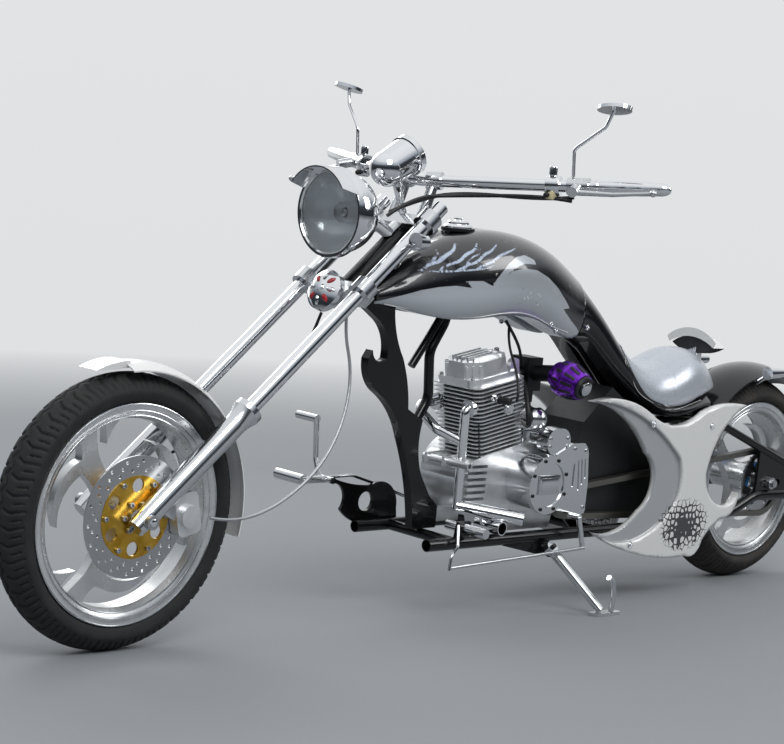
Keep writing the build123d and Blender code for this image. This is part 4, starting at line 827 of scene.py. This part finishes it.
def saddle():
    """Silver seat with a raised tail, with its seams, and two pinstripes on the cover under it."""
    bm = dense_copy("saddle", 9.0)
    bm.normal_update()
    for vert in bm.verts:
        along = math.exp(-((abs(vert.co.y) - SEAM_Y) / SEAM_HALF) ** 2)
        across = math.exp(-((vert.co.x - SEAM_X) / SEAM_HALF) ** 2)
        if vert.normal.z > 0.25:
            vert.co -= vert.normal * min(1.0, along + across) * SEAM_DEPTH * vert.normal.z
    bmesh.ops.smooth_vert(bm, verts=[v for v in bm.verts if v.normal.z > 0.05], factor=0.4,
                          use_axis_x=True, use_axis_y=True, use_axis_z=True)
    obj = piece("seat_pad", bm, VINYL, "frame", ("saddle",), 60)
    for side in (1, -1):
        hand = "left" if side > 0 else "right"
        for row, drop in ((1, 9.0), (2, 17.0)):
            line = []
            for x, z in ((684, 650), (662, 610), (640, 578), (610, 554), (570, 535), (520, 524),
                         (470, 520), (420, 524), (370, 533), (320, 542)):
                point = on_surface("rear_cover", x + 0.5 * drop, z - drop, side, 0.2)
                if point is not None:
                    line.append(point)
            if len(line) > 3:
                wire(f"cover_pinstripe_{row}_{hand}", line, 1.0, WHITE, "frame")


def engine():
    """Screws, plates, plugs, lead and hoses on the engine's castings."""
    bm = bmesh.new()
    for k in range(8):
        a = math.radians(45 * k + 22.5)
        join(bm, screw(4.6, 3.4), aim((1006 + 65 * math.cos(a), 149.6, 330 + 65 * math.sin(a))), 1)
    for x, z in ((921, 421), (987, 421), (921, 441), (987, 441)):
        join(bm, screw(4.2, 3.2), aim((x, 121.6, z)))
    for x, z in ((950, 388), (848, 408), (836, 262), (948, 262), (892, 414)):
        join(bm, screw(4.6, 3.4), aim((x, 125.6, z)))
    for x in (-70, 78):
        for y in (-52, 0, 52):
            join(bm, screw(5, 5), BORE @ Matrix.Translation((x, y, FIN_STACK + 17.5)))
    for x, y in ((-66, 0), (40, 0)):
        join(bm, screw(6.5, 8), BORE @ Matrix.Translation((x, y, FIN_STACK + 56)))
    piece("engine_screws", bm, [STEEL, DARK_STEEL], "frame")
    bm = bmesh.new()
    join(bm, block(76, 48, 1.6, 0.6), aim((1006, 150.4, 330)))
    join(bm, block(62, 34, 1.6, 0.6), aim((1006, 151.4, 330)))
    piece("cover_badge", bm, POLISHED, "frame")
    bm = bmesh.new()
    plug = BORE @ Matrix.Translation((-18, 78, 112)) @ ACROSS
    join(bm, lathe([(0, 8), (9, 8), (11, 6), (15, 6), (17, 3), (17, -10), (0, -10)], 28), plug)
    join(bm, lathe([(0, 26), (3, 26), (3, 10), (8, 10), (8, 2), (12, 2), (12, -8), (0, -8)], 6),
         BORE @ Matrix.Translation((30, 76, 146)) @ ACROSS)
    piece("barrel_plugs", bm, POLISHED, "frame")
    bm = bmesh.new()
    cap = BORE @ Matrix.Translation((30, 96, 146)) @ ACROSS
    join(bm, lathe([(0, 34), (7, 34), (9, 30), (9, 4), (11, 0), (0, 0)], 20), cap)
    piece("plug_cap", bm, PLASTIC, "frame")
    wire("plug_lead", [(1140, 128, 536), (1136, 128, 566), (1120, 96, 612), (1096, 40, 668), (1080, 24, 706)],
         3.4, HOSE, "frame")
    wire("breather_hose",
         [(1010, 46, 470), (1040, 92, 462), (1052, 96, 500), (1030, 60, 552), (1010, 20, 580)],
         7.5, HOSE, "frame")
    wire("fuel_line", [(1086, 16, 720), (1064, 34, 682), (1030, 30, 640), (1002, 12, 606)],
         4.0, HOSE, "frame")


def air_filter():
    """Purple pod with long windows, a black end ring and a bright cap."""
    mouth = Vector((952, 86, 598))
    place = aim(mouth, (-0.02, 0.97, -0.24))
    bm = bmesh.new()
    body = outline((0, 0.3), [
        (None, (32, 0.3), 1), (None, (32, 12), 1), (None, (44, 20), 1), ((46.8, 34), (45, 52), 6),
        (None, (33, 90), 1), (None, (0, 90), 1),
    ])
    join(bm, lathe(body, 60), place, 0)
    taper = Matrix.Rotation(math.radians(-17), 4, "Y")
    for k in range(12):
        turn = place @ Matrix.Rotation(TURN * k / 12, 4, "Z")
        join(bm, block(2.4, 8, 30, 1.1), turn @ Matrix.Translation((41.2, 0, 66)) @ taper, 1)
        join(bm, block(2.2, 8, 16, 0.9), turn @ Matrix.Translation((46, 0, 34)), 1)
    join(bm, lathe([(22, 88), (30, 88), (30, 93), (28, 96), (20, 96)], 48), place, 1)
    join(bm, lathe([(0, 106), (13, 106), (17.5, 103), (18, 96), (18, 92)], 40), place, 2)
    piece("filter_pod", bm, [PURPLE, PLASTIC, POLISHED], "frame", ("air_filter",))


def lamps():
    """Bulb, hood and bezel of the headlight, the clock's dial and the horn's cover."""
    bm = bmesh.new()
    join(bm, lathe([(0, -38), (9, -40), (12, -46), (12, -70), (0, -70)], 24), LAMP)
    join(bm, lathe([(20, -36), (21, -36), (24, -58), (23, -58)], 32, closed=True), LAMP)
    piece("headlight_bulb", bm, CHROME, "steering")
    bm = bmesh.new()
    ring = [(91, -2), (95, 3.5), (101, 4), (103.4, 0), (103.4, -16), (100.2, -16), (100.2, -0.5)]
    join(bm, lathe(ring, 96, closed=True), LAMP)
    piece("headlight_bezel", bm, CHROME, "steering")
    face = Vector((1470, 0, 1098))
    dial = aim(face, face - Vector((1562, 0, 1048)))
    bm = bmesh.new()
    join(bm, rod(42, 0.8, segments=64), dial, 0)
    for k in range(25):
        a = math.radians(-120 + 10 * k)
        tick = 7 if k % 4 == 0 else 4
        mark = Matrix.Rotation(a, 4, "Z") @ Matrix.Translation((0, 36 - tick / 2, 1.0))
        join(bm, block(0.9, tick, 0.4), dial @ mark, 1)
    needle = Matrix.Rotation(math.radians(118), 4, "Z") @ Matrix.Translation((0, 12, 1.8))
    join(bm, block(1.4, 32, 0.6), dial @ needle, 2)
    join(bm, lathe([(0, 3), (3.4, 3), (4, 1), (4, 0)], 16), dial, 0)
    join(bm, lathe([(42, 0.2), (49, 0.2), (49, 3), (46, 4.4), (43, 3)], 64, closed=True), dial, 3)
    piece("clock_dial", bm, [PLASTIC, WHITE, RED, CHROME], "steering")
    horn = aim((1690, 0, 775), (0.93, 0, 0.36))
    bm = bmesh.new()
    join(bm, lathe([(0, 26), (7, 25), (10, 21), (24, 19), (40, 13), (48, 9), (48, 6), (0, 6)], 48), horn, 0)
    lean_out = Matrix.Rotation(math.radians(20), 4, "Y") @ Matrix.Diagonal((1.5, 0.8, 1, 1))
    for k in range(8):
        turn = horn @ Matrix.Rotation(TURN * k / 8, 4, "Z")
        petal = turn @ Matrix.Translation((30, 0, 17)) @ lean_out
        join(bm, lathe([(0, 4), (5, 3), (7.5, 0), (0, 0)], 16), petal, k % 2)
    piece("horn_cover", bm, [CHROME, RED], "steering")


def tail_band():
    """White band that closes the front of the tail lamp's shade."""
    outer = [(-82, 680)] + arc((-82, 680), (0, 712), (82, 680), 32)
    inner = [(-74, 666)] + arc((-74, 666), (0, 688), (74, 666), 32)
    bm = bmesh.new()
    rows = []
    for (oy, oz), (iy, iz) in zip(outer, inner):
        rows.append([bm.verts.new(co) for co in ((285, oy, oz), (288, oy, oz), (288, iy, iz), (285, iy, iz))])
    for a, b in zip(rows, rows[1:]):
        for k in range(4):
            bm.faces.new((a[k], a[(k + 1) % 4], b[(k + 1) % 4], b[k]))
    bm.faces.new(rows[0])
    bm.faces.new(rows[-1])
    bmesh.ops.recalc_face_normals(bm, faces=bm.faces)
    piece("tail_lamp_band", bm, WHITE, "frame")


def rider_controls():
    """Switch blocks with their buttons and knobs, inboard of both lever perches."""
    sweep = math.radians(24)
    for side, hand in ((1, "left"), (-1, "right")):
        axis = Vector((-math.sin(sweep), side * math.cos(sweep), 0.07)).normalized()
        s = 530 - 150 * math.cos(sweep) - 62 * math.cos(sweep) - 30
        at = Vector((1443 - s * math.tan(sweep), side * s, 1041 + 40 * s / 530))
        bm = bmesh.new()
        place = aim(at, axis)
        join(bm, lathe([(14.2, -16), (22, -16), (23, -13), (23, 13), (22, 16), (14.2, 16)], 40), place, 0)
        down = Matrix.Translation(at + Vector((6, 0, -22)))
        join(bm, block(26, 26, 20, 4), down, 2 if side > 0 else 0)
        button = lathe([(0, 10), (5, 9), (6, 6), (6, 0)], 20)
        join(bm, button, aim(at + Vector((20, 0, -22)), (1, 0, -0.2)), 1)
        knob = lathe([(0, 24), (9, 23), (10, 20), (10, 4), (7, 0), (0, 0)], 24)
        join(bm, knob, aim(at + Vector((8, 0, 20)), (0, 0, 1)), 0)
        piece(f"switch_{hand}", bm, [CHROME, PLASTIC, CREAM], "steering")


def spring_line():
    """The side stand's return spring, a coil between two hooks beside the leg."""
    turns, r = 12, 4.5
    a, b = Vector((978, 150, 162)), Vector((936, 214, 92))
    along = (b - a).normalized()
    out = along.orthogonal().normalized()
    over = along.cross(out)
    coil = []
    for k in range(turns * 8 + 1):
        t = k / (turns * 8)
        angle = TURN * turns * t
        coil.append(a + (b - a) * (0.18 + 0.62 * t) + out * r * math.cos(angle) + over * r * math.sin(angle))
    return [a] + coil + [b]


def studio():
    """Pale floor that fades into a pale backdrop, a soft sky and three soft lamps."""
    bm = bmesh.new()
    bmesh.ops.create_grid(bm, x_segments=1, y_segments=1, size=40)
    mesh = bpy.data.meshes.new("floor")
    bm.to_mesh(mesh)
    bm.free()
    floor = bpy.data.objects.new("floor", mesh)
    bpy.context.scene.collection.objects.link(floor)
    mat, tree, shader = finish("floor_grey", "84878b", 0.8)
    place = add(tree, "ShaderNodeTexCoord")
    far = add(tree, "ShaderNodeVectorMath", {"operation": "LENGTH"}, {0: place.outputs["Object"]})
    fade = add(tree, "ShaderNodeMapRange", None, {
        "Value": far.outputs["Value"], "From Min": 3.5, "From Max": 14.0,
    })
    haze = add(tree, "ShaderNodeEmission", None, {
        "Color": backdrop(tree, place.outputs["Object"], linear(HORIZON), linear(SHADE)), "Strength": 1.0,
    })
    mix = add(tree, "ShaderNodeMixShader", None, {
        0: fade.outputs[0], 1: shader.outputs[0], 2: haze.outputs[0],
    })
    ending = next(node for node in tree.nodes if node.type == "OUTPUT_MATERIAL")
    tree.links.new(mix.outputs[0], ending.inputs["Surface"])
    mesh.materials.append(mat)
    world = bpy.data.worlds.new("sky")
    world.use_nodes = True
    tree = world.node_tree
    tree.nodes.clear()
    place = add(tree, "ShaderNodeTexCoord")
    split = add(tree, "ShaderNodeSeparateXYZ", None, {"Vector": place.outputs["Generated"]})
    ramp = add(tree, "ShaderNodeValToRGB", None, {"Fac": split.outputs["Z"]})
    stops = ramp.color_ramp.elements
    stops[0].position, stops[0].color = 0.0, linear(SHADE)
    stops[1].position, stops[1].color = 0.22, linear("3c4146")
    for position, colour in ((0.34, "9aa2ab"), (0.5, "c4c9cf"), (0.62, "e8ebee"), (1.0, "f6f8fa")):
        stops.new(position).color = linear(colour)
    lower = add(tree, "ShaderNodeValToRGB", None, {"Fac": split.outputs["Z"]})
    lower.color_ramp.elements[0].color = linear(HORIZON)
    lower.color_ramp.elements[1].color = linear("f0f2f4")
    sky = backdrop(tree, place.outputs["Generated"], lower.outputs[0], ramp.outputs[0])
    back = add(tree, "ShaderNodeBackground", None, {"Color": sky, "Strength": 1.0})
    add(tree, "ShaderNodeOutputWorld", None, {"Surface": back.outputs[0]})
    bpy.context.scene.world = world
    area_light("key", (2.6, 3.6, 4.4), (0, 0, 0.4), (2.6, 2.6), 150)
    area_light("side", (-3.4, 3.4, 2.8), (-0.3, 0, 0.4), (2.0, 2.0), 60)
    area_light("rear", (-1.0, -4.0, 3.2), (0, 0, 0.5), (3.0, 2.0), 60)


HORIZON = "dfe1e3"
SHADE = "2b2f33"
BEHIND = (-0.7153, -0.6988)     # the way the picture looks, over the ground


def backdrop(tree, direction, pale, dark):
    """Pale where the picture looks and dark, as under trees, on the other sides."""
    level = add(tree, "ShaderNodeVectorMath", {"operation": "MULTIPLY"}, {0: direction, 1: (1, 1, 0)})
    unit = add(tree, "ShaderNodeVectorMath", {"operation": "NORMALIZE"}, {0: level.outputs[0]})
    facing = add(tree, "ShaderNodeVectorMath", {"operation": "DOT_PRODUCT"}, {
        0: unit.outputs[0], 1: (*BEHIND, 0),
    })
    part = add(tree, "ShaderNodeMapRange", None, {
        "Value": facing.outputs["Value"], "From Min": 0.45, "From Max": 0.8,
    })
    mix = add(tree, "ShaderNodeMix", {"data_type": "RGBA"}, {"Factor": part.outputs[0]})
    for slot, value in ((6, dark), (7, pale)):
        if isinstance(value, bpy.types.NodeSocket):
            tree.links.new(value, mix.inputs[slot])
        else:
            mix.inputs[slot].default_value = value
    return mix.outputs[2]


def area_light(name, place, target, size, power):
    data = bpy.data.lights.new(name, "AREA")
    data.shape = "RECTANGLE"
    data.size, data.size_y = size
    data.energy = power
    obj = bpy.data.objects.new(name, data)
    bpy.context.scene.collection.objects.link(obj)
    obj.location = place
    obj.rotation_euler = (Vector(target) - Vector(place)).to_track_quat("-Z", "Y").to_euler()


camera()
cords()
wheel_details()
tank()
panels()
saddle()
engine()
air_filter()
lamps()
tail_band()
rider_controls()
wire("stand_spring", spring_line(), 1.3, STEEL, "side_stand")
studio()
bpy.context.scene.view_settings.view_transform = "Standard"
